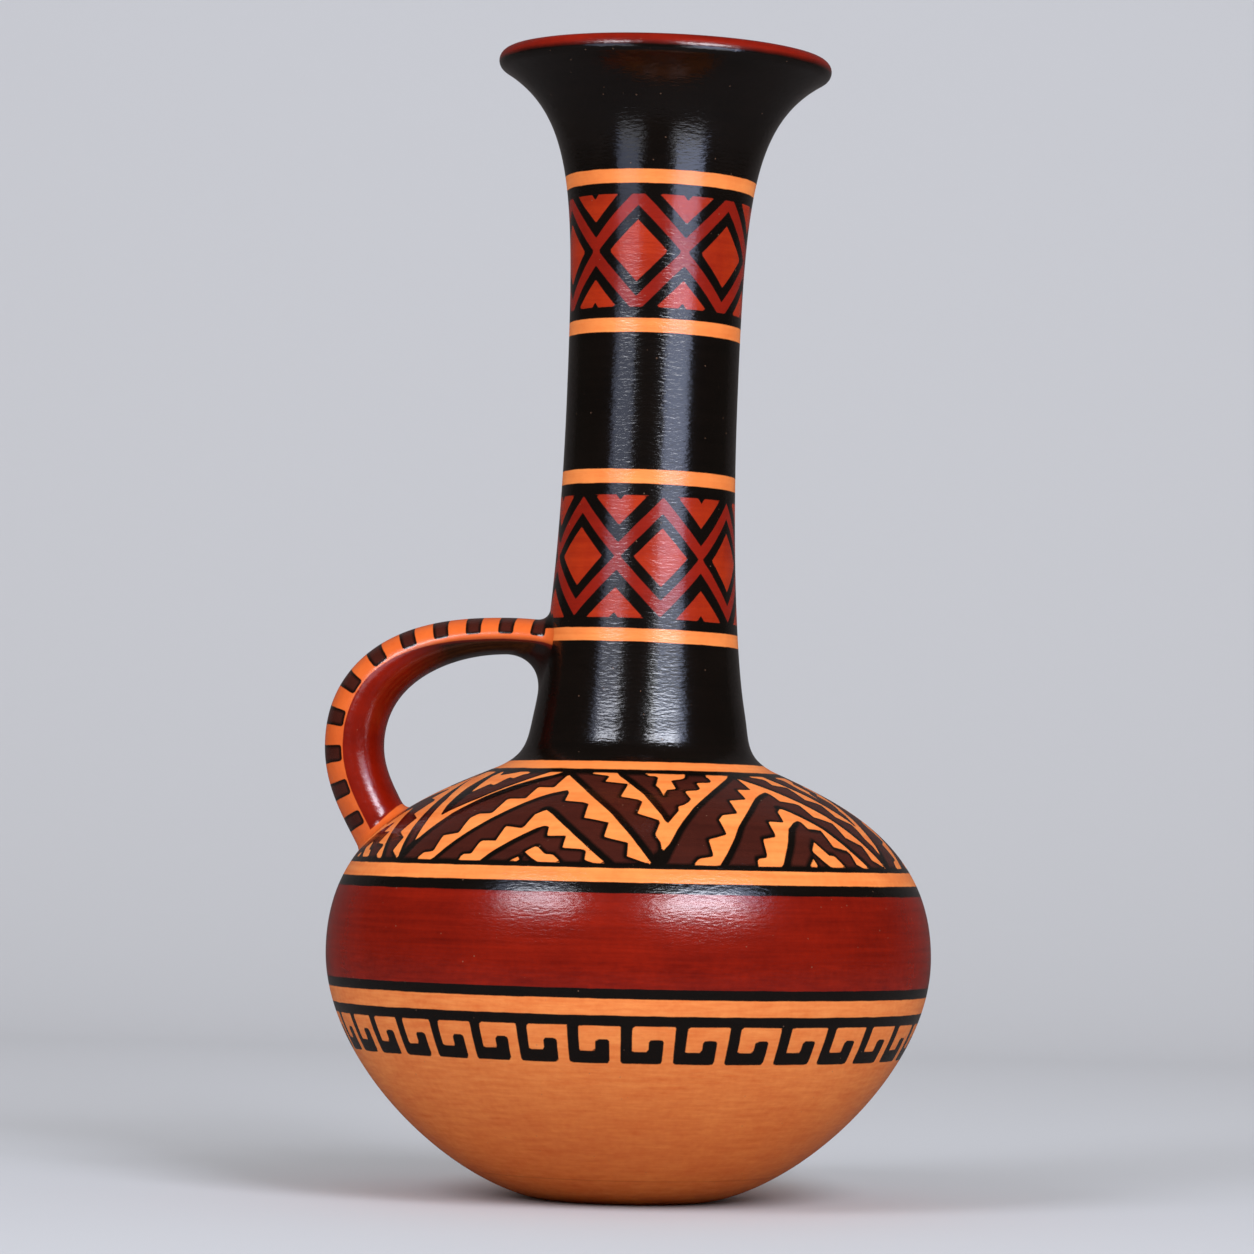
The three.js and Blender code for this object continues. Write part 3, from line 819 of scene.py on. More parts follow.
def revolved(name: str, profile: np.ndarray, sides: Sequence[int],
             materials: Sequence[bpy.types.Material], columns: int) -> bpy.types.Object:
    """Turn a profile round the vessel's axis, set it on the leaning axis and paint it.

    Args:
        name: the piece's name.
        profile: rows of (radius, height). One that starts at radius 0 ends there too.
        sides: material slot of each row of faces.
        materials: the slots.
        columns: points round the vessel.

    Returns:
        The piece. Its points are (r sin a, -r cos a, h) at turn a, which is 0 towards the viewer
        and grows towards +X.
    """
    pole = profile[0, 0] == 0
    rows = profile[1:-1] if pole else profile
    turn = np.linspace(-180, 180, columns, endpoint=False)
    a = np.radians(turn)
    radius, height = rows[:, :1], rows[:, 1:].repeat(columns, 1)
    points = OUTLINE.bent(radius * np.sin(a), -radius * np.cos(a), height)
    channels = PAINT.channels(turn[None], height, np.interp(height, *CLIMB))
    return grid_mesh(name, points, sides, materials, not pole, channels)


@dataclass
class Walls:
    """The vessel's coiled walls: base, bowl, shoulder, collar, neck, flared mouth and lip.

    The joints are heights in millimetres, from the base's edge up to the mouth's.
    """

    joints: tuple[float, float, float, float, float] = (9.0, 80.2, 150.0, 185.2, 334.5)
    columns: int = 320
    body_columns: int = 480
    under_rings: int = 11
    floor_rings: int = 7
    lip_steps: int = 14

    def ring(self, node: str, outer: np.ndarray, inner: np.ndarray,
             materials: Sequence[bpy.types.Material], slot: str) -> bpy.types.Object:
        """One closed part of the wall that stands for a CAD node.

        Args:
            node: the CAD node.
            outer: rows of (radius, height) up its outside, from the axis where it has a floor.
            inner: rows back down its inside.
            materials: the outside's material and the inside's.
            slot: a material slot's name; not used.

        Returns:
            The finished object.
        """
        outside = len(outer) - (2 if outer[0, 0] == 0 else 1)
        sides = [Side.OUTSIDE.value] * outside + [Side.INSIDE.value] * (len(inner) + 1)
        columns = self.body_columns if outer[-1, 1] <= self.joints[2] else self.columns
        piece = revolved(node, np.vstack([outer, inner]), sides, materials, columns)
        return stand(piece, node)

    def wall(self, node: str, lower: int, materials: Sequence[bpy.types.Material],
             slot: str) -> bpy.types.Object:
        """The ring of wall from one joint to the next.

        Args:
            node: the CAD node.
            lower: number of its lower joint.
            materials: the outside's material and the inside's.
            slot: a material slot's name, passed on to ring(), which doesn't use it.

        Returns:
            The finished object.
        """
        low, high = self.joints[lower:lower + 2]
        outer, inner = (OUTLINE.stretch(line, low, high) for line in (OUTER, INNER))
        return self.ring(node, outer, inner[::-1], materials, slot)

    def base(self, materials: Sequence[bpy.types.Material]) -> bpy.types.Object:
        """The saucer-shaped base slab, with rings under it for its paint.

        Args:
            materials: the outside's material and the inside's.

        Returns:
            The finished object.
        """
        floor = OUTLINE.base_wall
        outer = OUTLINE.stretch(OUTER, 0, self.joints[0])
        inner = OUTLINE.stretch(INNER, floor, self.joints[0])[::-1]
        under = [[r, 0.0] for r in np.linspace(0, outer[0, 0], self.under_rings + 1)[:-1]]
        over = [[r, floor] for r in np.linspace(inner[-1, 0], 0, self.floor_rings + 1)[1:]]
        return self.ring("base_disc", np.vstack([under, outer]), np.vstack([inner, over]), materials,
                         "slip_orange")

    def mouth(self, materials: Sequence[bpy.types.Material]) -> bpy.types.Object:
        """The flared mouth, whose edge is cut square to its wall."""
        outer, inner = (OUTLINE.stretch(line, self.joints[-1], line[-1, 1]) for line in (OUTER, INNER))
        return self.ring("mouth_flare", outer, inner[::-1], materials, "slip_black")

    def lip(self, material: bpy.types.Material) -> bpy.types.Object:
        """The rolled lip: a half round whose flat side lies on the mouth's edge.

        Args:
            material: its paint.

        Returns:
            The finished object. Its rows are centre + R (out cos a + ahead sin a), where ahead
            runs on along the mouth's outline and out is square to that.
        """
        end = cubic(OUTLINE.curves()[-1][0], np.array([1 - NUDGE, 1]))
        ahead = unit(np.diff(end, axis=0))[0]
        out = np.array([ahead[1], -ahead[0]])
        radius = OUTLINE.lip_radius
        angle = np.linspace(0, np.pi, self.lip_steps + 1)[:, None]
        centre = OUTER[-1] - out * radius
        rolled = centre + out * (radius * np.cos(angle)) + ahead * (radius * np.sin(angle))
        flat = centre + out * radius * np.array([[-0.5], [0.5]])
        profile = np.vstack([rolled, flat])
        sides = [Side.OUTSIDE.value] * len(profile)
        return stand(revolved("lip_coil", profile, sides, [material], self.columns), "lip_coil")


@dataclass
class SeamCoils:
    """Coils of soft clay smeared over the joints from inside."""

    gap: float = 0.3
    thickness: float = 3.0
    edge: float = 0.25
    steps: int = 10
    columns: int = 160
    lap: float = 2.5

    def coil(self, node: str, joint: float, tall: float, material: bpy.types.Material) -> bpy.types.Object:
        """One coil, whose one side follows the wall while the other swells.

        Args:
            node: the CAD node.
            joint: height of the joint that it covers.
            tall: its own height.
            material: its clay.

        Returns:
            The finished object. It is thickness (edge + (1 - edge) sin(pi share)) thick, where
            the share goes up the coil.
        """
        wall_side = OUTLINE.line(1, self.gap)
        share = np.linspace(0, 1, self.steps + 1)
        height = joint + self.lap + tall * (share - 0.5)
        radius = OUTLINE.radius(wall_side, height)
        slope = (OUTLINE.radius(wall_side, height + 1) - OUTLINE.radius(wall_side, height - 1)) / 2
        inward = unit(np.stack([-np.ones_like(slope), slope], 1))
        swell = self.thickness * (self.edge + (1 - self.edge) * np.sin(np.pi * share))
        near = np.stack([radius, height], 1)
        profile = np.vstack([near, (near + inward * swell[:, None])[::-1]])
        piece = revolved(node, profile, [0] * len(profile), [material], self.columns)
        return stand(piece, node)


@dataclass
class Handle:
    """The strap handle and the two wads of clay that blend it into the neck and the shoulder.

    Sizes are in millimetres. The strap and its wads are drawn a little shy of the CAD solids. The
    neck line, the bare foot and the red foot say where the neck's black and the strap's red end on
    the wads. A wad's hidden side lies a skin's thickness under the surfaces that it joins, and its
    inner edge is tucked into the vessel.
    """

    turn: float = math.radians(7)
    neck_height: float = 184.0
    neck_inset: float = 14.0
    crown_reach: float = 35.9
    crown_rise: float = 4.2
    proud: float = 3.4
    back_height: float = 148.0
    upper_fullness: float = 27.2
    lower_fullness: float = 14.8
    root_height: float = 120.5
    root_lean: float = math.radians(23.3)
    root_reach: float = 4.0
    root_inset: float = 15.0
    width: float = 25.0
    thin: float = 12.4
    thick: float = 19.8
    thicken: tuple[float, float] = (0.19, 0.64)
    shy: float = 0.12
    neck_line: float = 187.2
    bare_foot: float = 2.6
    red_foot: float = 1.2
    hold: float = 0.6
    skin: float = 0.6
    tuck: float = 4.0
    tuck_depth: float = 3.0
    path_points: int = 1500
    girth_steps: int = 40
    halvings: int = 40
    steps: int = 260
    wad_steps: int = 24
    sides: int = 120
    table: np.ndarray = field(init=False, repr=False)
    length: float = field(init=False)

    def __post_init__(self) -> None:
        """Lay out the middle line and tabulate it by length."""
        start = np.array([OUTLINE.radius(OUTER, self.neck_height)
                          - OUTLINE.drift(self.neck_height) * math.cos(self.turn), self.neck_height])
        rise = np.array([self.crown_reach, self.crown_rise])
        ahead = rise / np.hypot(*rise)
        back = np.array([OUTLINE.belly_radius + self.proud - self.thick / 2, self.back_height])
        down = np.array([-math.sin(self.root_lean), -math.cos(self.root_lean)])
        root = np.array([OUTLINE.radius(OUTER, self.root_height), self.root_height])
        t = np.linspace(0, 1, self.path_points)
        inset = start - ahead * self.neck_inset
        straight = inset + (start - inset) * t[:, None]
        upper = cubic([start, start + rise, back + [0, self.upper_fullness], back], t)
        lower = cubic([back, back - [0, self.lower_fullness], root - down * self.root_reach,
                       root + down * self.root_inset], t)
        points = np.vstack([straight, upper[1:], lower[1:]])
        run = np.concatenate([[0], np.cumsum(step_lengths(points))])
        along = unit(np.gradient(points, run, axis=0))
        self.length = float(run[-1])
        self.table = np.column_stack([run / self.length, points, along])

    def half_thickness(self, share: np.ndarray) -> np.ndarray:
        """Half the strap's thickness at a share of its path."""
        return (self.thin + (self.thick - self.thin) * smoothstep(share, *self.thicken)) / 2

    def point(self, share: np.ndarray, angle: np.ndarray, proud: np.ndarray) -> np.ndarray:
        """Points round the strap's oval section.

        Args:
            share: share of the path.
            angle: 0 on the outer face, a half turn on the inner one.
            proud: how far outside the strap's own skin.

        Returns:
            Points centre + N (thickness / 2 + proud) cos(angle) + B (width / 2 + proud) sin(angle).
        """
        share, angle, proud = np.broadcast_arrays(share, angle, proud)
        at = np.clip(share, 0, 1)
        s, z, ts, tz = (np.interp(at, self.table[:, 0], column) for column in self.table.T[1:])
        across = (self.half_thickness(share) + proud) * np.cos(angle)
        wide = (self.width / 2 + proud) * np.sin(angle)
        s, z = s - tz * across, z + ts * across
        x = -math.cos(self.turn) * s + math.sin(self.turn) * wide
        y = math.sin(self.turn) * s + math.cos(self.turn) * wide
        return np.stack([x, y, z], -1)

    def meeting(self, angle: np.ndarray, inside: float, outside: float) -> np.ndarray:
        """Find where lines along the strap meet the vessel, by halving.

        Args:
            angle: the lines' angles round the strap's section.
            inside: a share of the path inside the vessel.
            outside: one outside it.

        Returns:
            The share at which each line meets it.
        """
        low, high = np.full(angle.shape, inside), np.full(angle.shape, outside)
        for _ in range(self.halvings):
            middle = (low + high) / 2
            clear = OUTLINE.outside(self.point(middle, angle, 0.0)) > 0
            high, low = np.where(clear, middle, high), np.where(clear, low, middle)
        return high

    def girth(self, share: np.ndarray, angle: np.ndarray) -> np.ndarray:
        """Length round the strap's oval section from the middle of its outer face.

        Args:
            share: share of the path.
            angle: degrees round the section.

        Returns:
            Millimetres: the sum of |(half thickness sin a, half width cos a)| over small steps.
        """
        share, angle = np.broadcast_arrays(share, angle)
        turn = np.radians(angle)[..., None] * (np.arange(self.girth_steps) + 0.5) / self.girth_steps
        half = self.half_thickness(share)[..., None]
        speed = np.hypot(half * np.sin(turn), self.width / 2 * np.cos(turn))
        return speed.mean(-1) * np.radians(angle)

    def strap(self, material: bpy.types.Material) -> bpy.types.Object:
        """The strap from inside the neck's wall to inside the shoulder's.

        Args:
            material: its paint.

        Returns:
            The finished object.
        """
        told = np.linspace(-180, 180, self.sides, endpoint=False)
        share = np.linspace(0, 1, self.steps + 1)[:, None]
        points = self.point(share, np.radians(told), -self.shy)
        channels = HandlePaint().channels(self, share * self.length, told)
        made = grid_mesh("handle_strap", points, [0] * self.steps, [material], False, channels)
        return stand(made, "handle_strap")

    def wad(self, node: str, radii: tuple[float, float, float], inside: float, outside: float,
            material: bpy.types.Material) -> bpy.types.Object:
        """A wad smeared from the strap down onto the vessel, feathered out at both edges.

        Args:
            node: the CAD node.
            radii: its fillet on the outer face, at the sides and on the inner face.
            inside: a share of the path inside the vessel.
            outside: one outside it.
            material: its paint.

        Returns:
            The finished object. Each line runs from the strap at A, a fillet's radius up from
            where the strap meets the vessel at M, to B on the vessel, as the cubic Bezier
            A, A + hold (M - A), B + hold (M - B), B.
        """
        told = np.linspace(-180, 180, self.sides, endpoint=False)
        angle = np.radians(told)
        away = math.copysign(1, outside - inside)
        face = np.where(np.cos(angle) > 0, radii[0], radii[2])
        radius = radii[1] + (face - radii[1]) * np.cos(angle) ** 2
        met = self.meeting(angle, inside, outside)
        top_share = met + away * radius / self.length
        top = self.point(top_share, angle, -self.shy)
        corner = self.point(met, angle, 0.0)
        beside = self.point(met, angle, radius)
        foot = OUTLINE.on_surface(beside)
        held = [top + self.hold * (corner - top), foot + self.hold * (corner - foot)]
        smeared = cubic([top, *held, foot], np.linspace(0, 1, self.wad_steps + 1))
        hidden = [OUTLINE.on_surface(beside, self.skin),
                  self.point(met - away * self.tuck / self.length, angle, -self.tuck_depth),
                  self.point(top_share, angle, -self.skin)]
        rows = np.concatenate([smeared, hidden])
        step = np.linalg.norm(np.diff(smeared, axis=0), axis=2)
        spread = np.concatenate([np.zeros((1, len(angle))), np.cumsum(step, 0)])
        spread = spread[[*range(len(spread)), -1, -1, 0]]
        channels = HandlePaint().channels(self, top_share * self.length - away * spread, told)
        if away > 0:
            met_neck = np.maximum(self.neck_line - rows[..., 2], self.bare_foot - spread)
            channels["black"] = np.minimum(channels["black"], met_neck)
        else:
            channels["red"] = np.maximum(channels["red"], spread - self.red_foot)
        made = grid_mesh(node, rows, [0] * len(rows), [material], True, channels)
        return stand(made, node)


def stand(piece: bpy.types.Object, node: str) -> bpy.types.Object:
    """Let a piece stand for its CAD node and ride the one body.

    Args:
        piece: the piece.
        node: the CAD node.

    Returns:
        The same piece.
    """
    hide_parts(node)
    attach(piece, "root")
    log.info("piece %s: %d points", piece.name, len(piece.data.vertices))
    return piece


def level_scale(wide: float, tall: float) -> tuple[float, float, float]:
    """Repeats per metre of level marks so many millimetres wide and tall."""
    return 1 / (wide * MM), 1 / (wide * MM), 1 / (tall * MM)


@dataclass(frozen=True)
class Burnished:
    """Slip-painted earthenware, burnished with a pebble before a low open firing.

    The pebble gives the eye a soft sheen that is broken by short level strokes, over a wall that
    swells a little as hand-built walls do. The brush leaves level streaks of thick and thin slip,
    and a few pale specks of grit show through. The slips' edges wobble as a held brush does. The
    strokes are as coarse as the broken edges of the photograph's highlights look, a little under a
    millimetre tall. Sizes are in millimetres, the specks' radii in shares of their spacing, and the
    shares are those of the streaks, the clouds and the mottle in the slip's thickness.
    """

    name: str
    slips: tuple[Slip, ...]
    streak_tall: float = 0.8
    streak_wide: float = 22.0
    streak_scale: float = 0.5
    cloud_size: float = 18.0
    mottle_size: float = 2.2
    wobble_size: float = 9.0
    wobble: float = 0.12
    wobble_from: float = 0.25
    wobble_to: float = 0.75
    stroke_tall: float = 0.8
    stroke_wide: float = 2.6
    stroke_depth: float = 0.105
    swell_size: float = 26.0
    swell_depth: float = 0.25
    speck_spacing: float = 4.5
    speck_core: float = 0.035
    speck_rim: float = 0.07
    speck_tint: str = "#8a6a55"
    specks: float = 0.45
    speck_chance: float = 0.5
    shares: tuple[float, float, float] = (0.5, 0.35, 0.2)
    contrast: float = 0.26
    # Painted shade: a tint multiplied in at the foot and fading out by the foot's height; white leaves none
    foot_shade_tint: str = WHITE
    foot_shade_height: float = 66.0
    ior: float = 1.5

    def thickness(self, g: Graph, mottle: Input) -> Input:
        """How thickly the slip lies: streaks, clouds and mottle, added by their shares.

        Args:
            g: the material's graph.
            mottle: the fine mottle.

        Returns:
            A share from 0 for thin to 1 for thick.
        """
        streaks = g.add("ShaderNodeVectorMath", operation="MULTIPLY",
                        links={0: g.object, 1: level_scale(self.streak_wide, self.streak_tall)})
        streak = g.add("ShaderNodeTexNoise", {"Vector": streaks, "Scale": self.streak_scale, "Detail": 2.0})
        cloud = g.add("ShaderNodeTexNoise", {"Vector": g.object, "Scale": 1 / (self.cloud_size * MM),
                                             "Detail": 4.0})
        total: Input = 0.0
        for noise, share in zip((streak, cloud, mottle), self.shares):
            total = g.add("ShaderNodeMath", {0: noise, 1: share, 2: total}, operation="MULTIPLY_ADD")
        middle, spread = sum(self.shares) / 2, self.contrast * sum(self.shares)
        return g.add("ShaderNodeMapRange", {0: total, 1: middle - spread, 2: middle + spread})

    def painted(self, g: Graph, thickness: Input) -> tuple[Input, Input]:
        """Lay the slips over one another.

        Args:
            g: the material's graph.
            thickness: 0 for thin to 1 for thick.

        Returns:
            Their colour and their roughness. Each slip lies where its channel, shifted by the
            brush's wobble, is below 0.
        """
        edge = g.add("ShaderNodeTexNoise", {"Vector": g.object, "Scale": 1 / (self.wobble_size * MM),
                                            "Detail": 3.0, "Roughness": 0.6})
        shift = g.add("ShaderNodeMapRange", {0: edge, 1: self.wobble_from, 2: self.wobble_to,
                                             3: -self.wobble, 4: self.wobble})
        tints = [g.add("ShaderNodeMix", {0: thickness, 6: linear(s.thin), 7: linear(s.thick)}, **BLEND)
                 for s in self.slips]
        colour, rough = tints[0], self.slips[0].roughness
        for slip, tint in zip(self.slips[1:], tints[1:]):
            told = g.add("ShaderNodeAttribute", out="Fac", attribute_name=slip.channel)
            moved = g.add("ShaderNodeMath", {0: told, 1: shift}, operation="ADD")
            mask = g.add("ShaderNodeMapRange", {0: moved, 1: -slip.soft, 2: slip.soft, 3: 1.0, 4: 0.0})
            colour = g.add("ShaderNodeMix", {0: mask, 6: colour, 7: tint}, **BLEND)
            rough = g.add("ShaderNodeMix", {0: mask, 2: rough, 3: slip.roughness})
        return colour, rough

    def specked_and_shaded(self, g: Graph, colour: Input, mottle: Input) -> Input:
        """Add specks of grit, and painted shade that makes the colour darker and yellower towards the foot.

        Args:
            g: the material's graph.
            colour: the painted colour.
            mottle: the fine mottle, which says where a speck may show.

        Returns:
            The finished colour.
        """
        spot = g.add("ShaderNodeTexVoronoi", {"Vector": g.object, "Scale": 1 / (self.speck_spacing * MM)})
        chance = g.add("ShaderNodeMath", {0: mottle, 1: self.speck_chance}, operation="GREATER_THAN")
        speck = g.add("ShaderNodeMapRange", {0: spot, 1: self.speck_core, 2: self.speck_rim,
                                             3: self.specks, 4: 0.0})
        speck = g.add("ShaderNodeMath", {0: speck, 1: chance}, operation="MULTIPLY")
        colour = g.add("ShaderNodeMix", {0: speck, 6: colour, 7: linear(self.speck_tint)}, **BLEND)
        # Painted shade: the colour turns darker and yellower towards the foot, by the foot's shade tint
        place = g.add("ShaderNodeSeparateXYZ", {0: g.object}, out="Z")
        climb = g.add("ShaderNodeMapRange", {0: place, 1: 0.0, 2: self.foot_shade_height * MM},
                      interpolation_type="SMOOTHSTEP")
        shade = g.add("ShaderNodeMix", {0: climb, 6: linear(self.foot_shade_tint), 7: linear(WHITE)}, **BLEND)
        return g.add("ShaderNodeVectorMath", {0: colour, 1: shade}, operation="MULTIPLY")

    def relief(self, g: Graph) -> Input:
        """The pebble's strokes and the wall's swells, each as deep as its size says.

        Args:
            g: the material's graph.

        Returns:
            The bumped normal.
        """
        strokes = g.add("ShaderNodeVectorMath", operation="MULTIPLY",
                        links={0: g.object, 1: level_scale(self.stroke_wide, self.stroke_tall)})
        stroke = g.add("ShaderNodeTexNoise", {"Vector": strokes, "Scale": 1.0, "Detail": 3.0})
        swell = g.add("ShaderNodeTexNoise", {"Vector": g.object, "Scale": 1 / (self.swell_size * MM),
                                             "Detail": 2.0})
        fine = g.add("ShaderNodeMath", {0: stroke, 1: self.stroke_depth * MM}, operation="MULTIPLY")
        broad = g.add("ShaderNodeMath", {0: swell, 1: self.swell_depth * MM}, operation="MULTIPLY")
        height = g.add("ShaderNodeMath", {0: fine, 1: broad}, operation="ADD")
        return g.add("ShaderNodeBump", {"Height": height, "Distance": 1.0})

    def material(self) -> bpy.types.Material:
        """Make the material.

        Returns:
            The material. It reads each slip's channel from the piece's own attributes.
        """
        g = Graph(self.name)
        mottle = g.add("ShaderNodeTexNoise", {"Vector": g.object, "Scale": 1 / (self.mottle_size * MM),
                                              "Detail": 3.0})
        colour, rough = self.painted(g, self.thickness(g, mottle))
        g.connect(g.bsdf, {"Base Color": self.specked_and_shaded(g, colour, mottle), "Roughness": rough,
                           "Normal": self.relief(g), "IOR": self.ior})
        log.info("material %s", self.name)
        return g.material


@dataclass(frozen=True)
class BareClay:
    """Unslipped earthenware inside the vessel, smoothed by fingers and smoked in the fire.

    It looks matt and gritty, with broad smoky clouds. The photograph doesn't show it, so its grit
    is a guess: coarse sand, just under a millimetre across. Sizes are in millimetres.
    """

    name: str = "bare_smoked_earthenware"
    light: str = "#7c4c33"
    dark: str = "#3a241a"
    cloud_size: float = 15.0
    cloud_from: float = 0.3
    cloud_to: float = 0.7
    grit_size: float = 0.9
    grit_depth: float = 0.25
    roughness: float = 0.85

    def material(self) -> bpy.types.Material:
        """Make the material.

        Returns:
            The material, darker where the smoke lay.
        """
        g = Graph(self.name)
        cloud = g.add("ShaderNodeTexNoise", {"Vector": g.object, "Scale": 1 / (self.cloud_size * MM),
                                             "Detail": 6.0})
        grit = g.add("ShaderNodeTexNoise", {"Vector": g.object, "Scale": 1 / (self.grit_size * MM),
                                            "Detail": 3.0})
        share = g.add("ShaderNodeMapRange", {0: cloud, 1: self.cloud_from, 2: self.cloud_to})
        colour = g.add("ShaderNodeMix", {0: share, 6: linear(self.dark), 7: linear(self.light)}, **BLEND)
        height = g.add("ShaderNodeMath", {0: grit, 1: self.grit_depth * MM}, operation="MULTIPLY")
        bump = g.add("ShaderNodeBump", {"Height": height, "Distance": 1.0})
        g.connect(g.bsdf, {"Base Color": colour, "Roughness": self.roughness, "Normal": bump})
        log.info("material %s", self.name)
        return g.material


def build() -> None:
    """Build the vessel."""
    walls, coils, handle = Walls(), SeamCoils(), Handle()
    clay = BareClay().material()
    # Orange slip with short level streaks, and painted shade that makes it a little duller and yellower
    # towards the foot
    bowl = Burnished("orange_slip_on_burnished_earthenware", (GROUND, RED, BLACK), streak_wide=5.0,
                     streak_tall=0.6, stroke_depth=0.08, shares=(0.5, 0.3, 0.3), contrast=0.25,
                     foot_shade_tint="#efd5ac").material()
    # The shoulder's orange, black and brown, and the upper part of the wide red band
    dome = Burnished("polychrome_slip_on_burnished_earthenware", (GROUND, RED, BLACK, BROWN)).material()
    # Black slip that mirrors the room most, with broad clouds that turn some lozenges more orange
    neck = Burnished("black_slip_on_burnished_earthenware", (GROUND, BLACK, STRIP, FILL),
                     shares=(0.35, 0.6, 0.15)).material()
    # Deep red with a duller sheen, worn softly into the neck's black
    lip = Burnished("red_slip_on_burnished_earthenware", (LIP_RED, SOFT_BLACK)).material()
    # A redder orange than the body's, in coarser streaks, with painted shade on the inner face near the
    # neck
    strap = Burnished("banded_slip_on_burnished_earthenware", (HANDLE_GROUND, BLACK, BROWN, RED, ARCH_SHADE),
                      streak_tall=6.0, stroke_tall=2.0, shares=(0.4, 0.3, 0.2)).material()
    walls.base([bowl, clay])
    walls.wall("lower_bowl", 0, [bowl, clay], "slip_orange")
    walls.wall("shoulder_dome", 1, [dome, clay], "slip_polychrome")
    walls.wall("neck_collar", 2, [neck, clay], "slip_black")
    walls.wall("neck_tube", 3, [neck, clay], "slip_black")
    walls.mouth([neck, clay])
    walls.lip(lip)
    for node, joint, tall in zip(("base_seam_coil", "belly_seam_coil", "neck_seam_coil"), walls.joints,
                                 (5, 14, 10)):
        coils.coil(node, joint, tall, clay)
    handle.strap(strap)
    handle.wad("handle_upper_wad", radii=(4, 4.5, 13), inside=0.02, outside=0.3, material=strap)
    handle.wad("handle_lower_wad", radii=(2.5, 3, 4), inside=0.98, outside=0.7, material=strap)


@dataclass
class Softbox:
    """A flat soft light that stands upright round the bottle and faces it.

    Its turn is in degrees from the viewer towards +X, and its sizes and heights are in metres. A
    mirrored one shows only in the gloss, as a window does. One that isn't gives only matt light.
    """

    name: str
    turn: float
    away: float
    wide: float
    low: float
    high: float
    level: float
    mirrored: bool = True
    tint: str = "#eef1fa"

    def light(self) -> bpy.types.Object:
        """Set it up.

        Returns:
            The light. Its power is pi x level x width x height, so that the level is the
            brightness of its face.
        """
        data = bpy.data.lights.new(self.name, "AREA")
        data.shape = "RECTANGLE"
        data.size, data.size_y = self.wide, self.high - self.low
        data.energy = self.level * math.pi * self.wide * (self.high - self.low)
        data.color = linear(self.tint)[:3]
        made = bpy.data.objects.new(self.name, data)
        a = math.radians(self.turn)
        middle = (self.low + self.high) / 2
        made.location = (self.away * math.sin(a), -self.away * math.cos(a), middle)
        made.rotation_euler = (math.pi / 2, 0, a)
        made.visible_camera = False
        made.visible_glossy = self.mirrored
        made.visible_diffuse = not self.mirrored
        bpy.context.scene.collection.objects.link(made)
        return made


@dataclass
class Sweep:
    """A pale matt paper floor that curves up into the backdrop, with its sizes in metres.

    The paper is painted a little darker near the viewer, as painted shade. In the gloss it looks as dark as
    the unlit room that the black slip mirrors in the photograph.
    """

    front: float = -0.45
    back: float = 1.1
    bend: float = 0.9
    top: float = 3.2
    half_width: float = 3.0
    steps: int = 24
    colour: str = "#cacdd3"
    # Painted shade: the paper's colour at its front edge, darker than the rest
    near: str = "#b8bbc0"
    mirrored: str = "#585454"
    roughness: float = 0.9
    sheen: float = 0.2

    def stand(self) -> bpy.types.Object:
        """Make the sweep.

        Returns:
            The floor, a quarter round (y, z) = (back + R sin t, R - R cos t), and the wall.
        """
        turn = np.linspace(0, np.pi / 2, self.steps)
        y = np.concatenate([[self.front], self.back + self.bend * np.sin(turn), [self.back + self.bend]])
        z = np.concatenate([[0], self.bend - self.bend * np.cos(turn), [self.top]])
        across = np.array([-self.half_width, self.half_width])
        points = np.stack(np.broadcast_arrays(across[None], y[:, None], z[:, None]), -1)
        rows = np.arange(len(y) - 1) * 2
        faces = np.stack([rows, rows + 1, rows + 3, rows + 2], 1)
        mesh = bpy.data.meshes.new("sweep")
        mesh.from_pydata(points.reshape(-1, 3).tolist(), [], faces.tolist())
        mesh.shade_smooth()
        g = Graph("matt_backdrop_paper")
        # Painted shade: the paper darkens from the back of the floor towards its front edge
        place = g.add("ShaderNodeSeparateXYZ", {0: g.object}, out="Y")
        distance = g.add("ShaderNodeMapRange", {0: place, 1: self.front, 2: self.back},
                         interpolation_type="SMOOTHSTEP")
        paper = g.add("ShaderNodeMix", {0: distance, 6: linear(self.near), 7: linear(self.colour)}, **BLEND)
        mirrored = g.add("ShaderNodeLightPath", out="Is Glossy Ray")
        colour = g.add("ShaderNodeMix", {0: mirrored, 6: paper, 7: linear(self.mirrored)}, **BLEND)
        g.connect(g.bsdf, {"Base Color": colour, "Roughness": self.roughness,
                           "Specular IOR Level": self.sheen})
        mesh.materials.append(g.material)
        made = bpy.data.objects.new("sweep", mesh)
        bpy.context.scene.collection.objects.link(made)
        return made


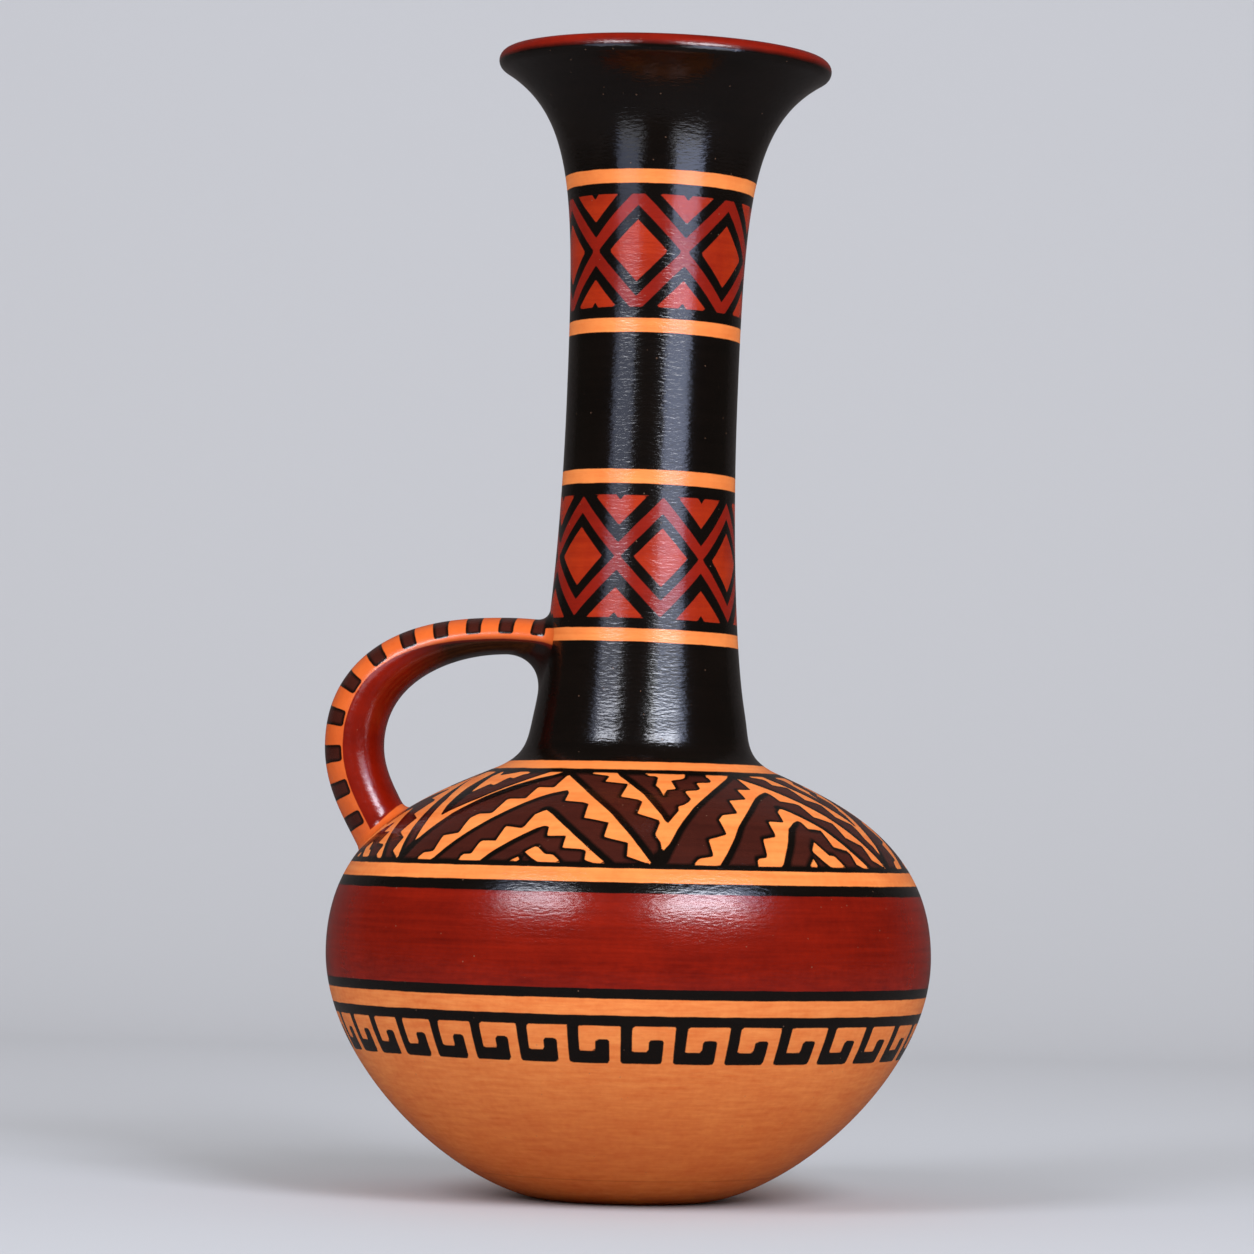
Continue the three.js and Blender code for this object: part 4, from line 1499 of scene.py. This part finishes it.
@dataclass
class Studio:
    """Backdrop, soft lights and the room's even light, which is dimmer in the gloss."""

    room: str = "#e6dfd6"
    room_level: float = 0.7
    mirrored_level: float = 0.045
    boxes: tuple[Softbox, ...] = (
        Softbox("right_lamp", turn=29, away=1.5, wide=0.72, low=0.6, high=2.0, level=13.3, mirrored=False),
        Softbox("left_lamp", turn=-42, away=1.5, wide=0.66, low=0.6, high=2.0, level=9.1, mirrored=False),
        Softbox("right_window_high", turn=27, away=0.62, wide=0.35, low=0.415, high=0.545, level=22.0),
        Softbox("right_window", turn=33, away=0.3, wide=0.17, low=0.236, high=0.33, level=5.0,
                tint="#cddaff"),
        Softbox("right_window_low", turn=28, away=0.3, wide=0.17, low=0.19, high=0.236, level=3.2),
        Softbox("left_window_high", turn=-35, away=0.62, wide=0.27, low=0.42, high=0.545, level=15.5),
        Softbox("left_window", turn=-38, away=0.3, wide=0.14, low=0.236, high=0.33, level=1.9,
                tint="#cddaff"),
        Softbox("left_window_low", turn=-34, away=0.3, wide=0.14, low=0.19, high=0.236, level=2.0),
    )

    def light(self) -> None:
        """Set everything up."""
        Sweep().stand()
        for box in self.boxes:
            box.light()
        world = bpy.data.worlds.new("room")
        bpy.context.scene.world = world
        world.use_nodes = True
        nodes, links = world.node_tree.nodes, world.node_tree.links
        ground = nodes["Background"]
        path = nodes.new("ShaderNodeLightPath")
        level = nodes.new("ShaderNodeMix")
        ground.inputs["Color"].default_value = linear(self.room)
        level.inputs[2].default_value = self.room_level
        level.inputs[3].default_value = self.mirrored_level
        links.new(path.outputs["Is Glossy Ray"], level.inputs[0])
        links.new(level.outputs[0], ground.inputs["Strength"])
        bpy.context.scene.view_settings.view_transform = "Standard"


@dataclass
class View:
    """The camera that took the photograph, worked out from the bottle's outline in it.

    Its place and its lens are in millimetres, its pitch and roll in degrees.
    """

    away: float = 1720.0
    aside: float = -2.78
    up: float = 123.0
    focal: float = 149.28
    sensor: float = 36.0
    pitch: float = 2.18
    roll: float = 1.25

    def camera(self) -> None:
        """Place it: it looks along +Y, a little up, and leans."""
        data = bpy.data.cameras.new("view")
        data.sensor_width, data.lens = self.sensor, self.focal
        made = bpy.data.objects.new("view", data)
        tilt = Matrix.Rotation(math.pi / 2 + math.radians(self.pitch), 4, "X")
        made.matrix_world = (Matrix.Translation(Vector((self.aside, -self.away, self.up)) * MM)
                             @ tilt @ Matrix.Rotation(math.radians(self.roll), 4, "Z"))
        bpy.context.scene.collection.objects.link(made)
        bpy.context.scene.camera = made


def main() -> None:
    """Build the bottle, its camera and its studio."""
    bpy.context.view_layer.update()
    build()
    View().camera()
    Studio().light()


if __name__ == "__main__":
    logging.basicConfig(level=logging.INFO)
    main()
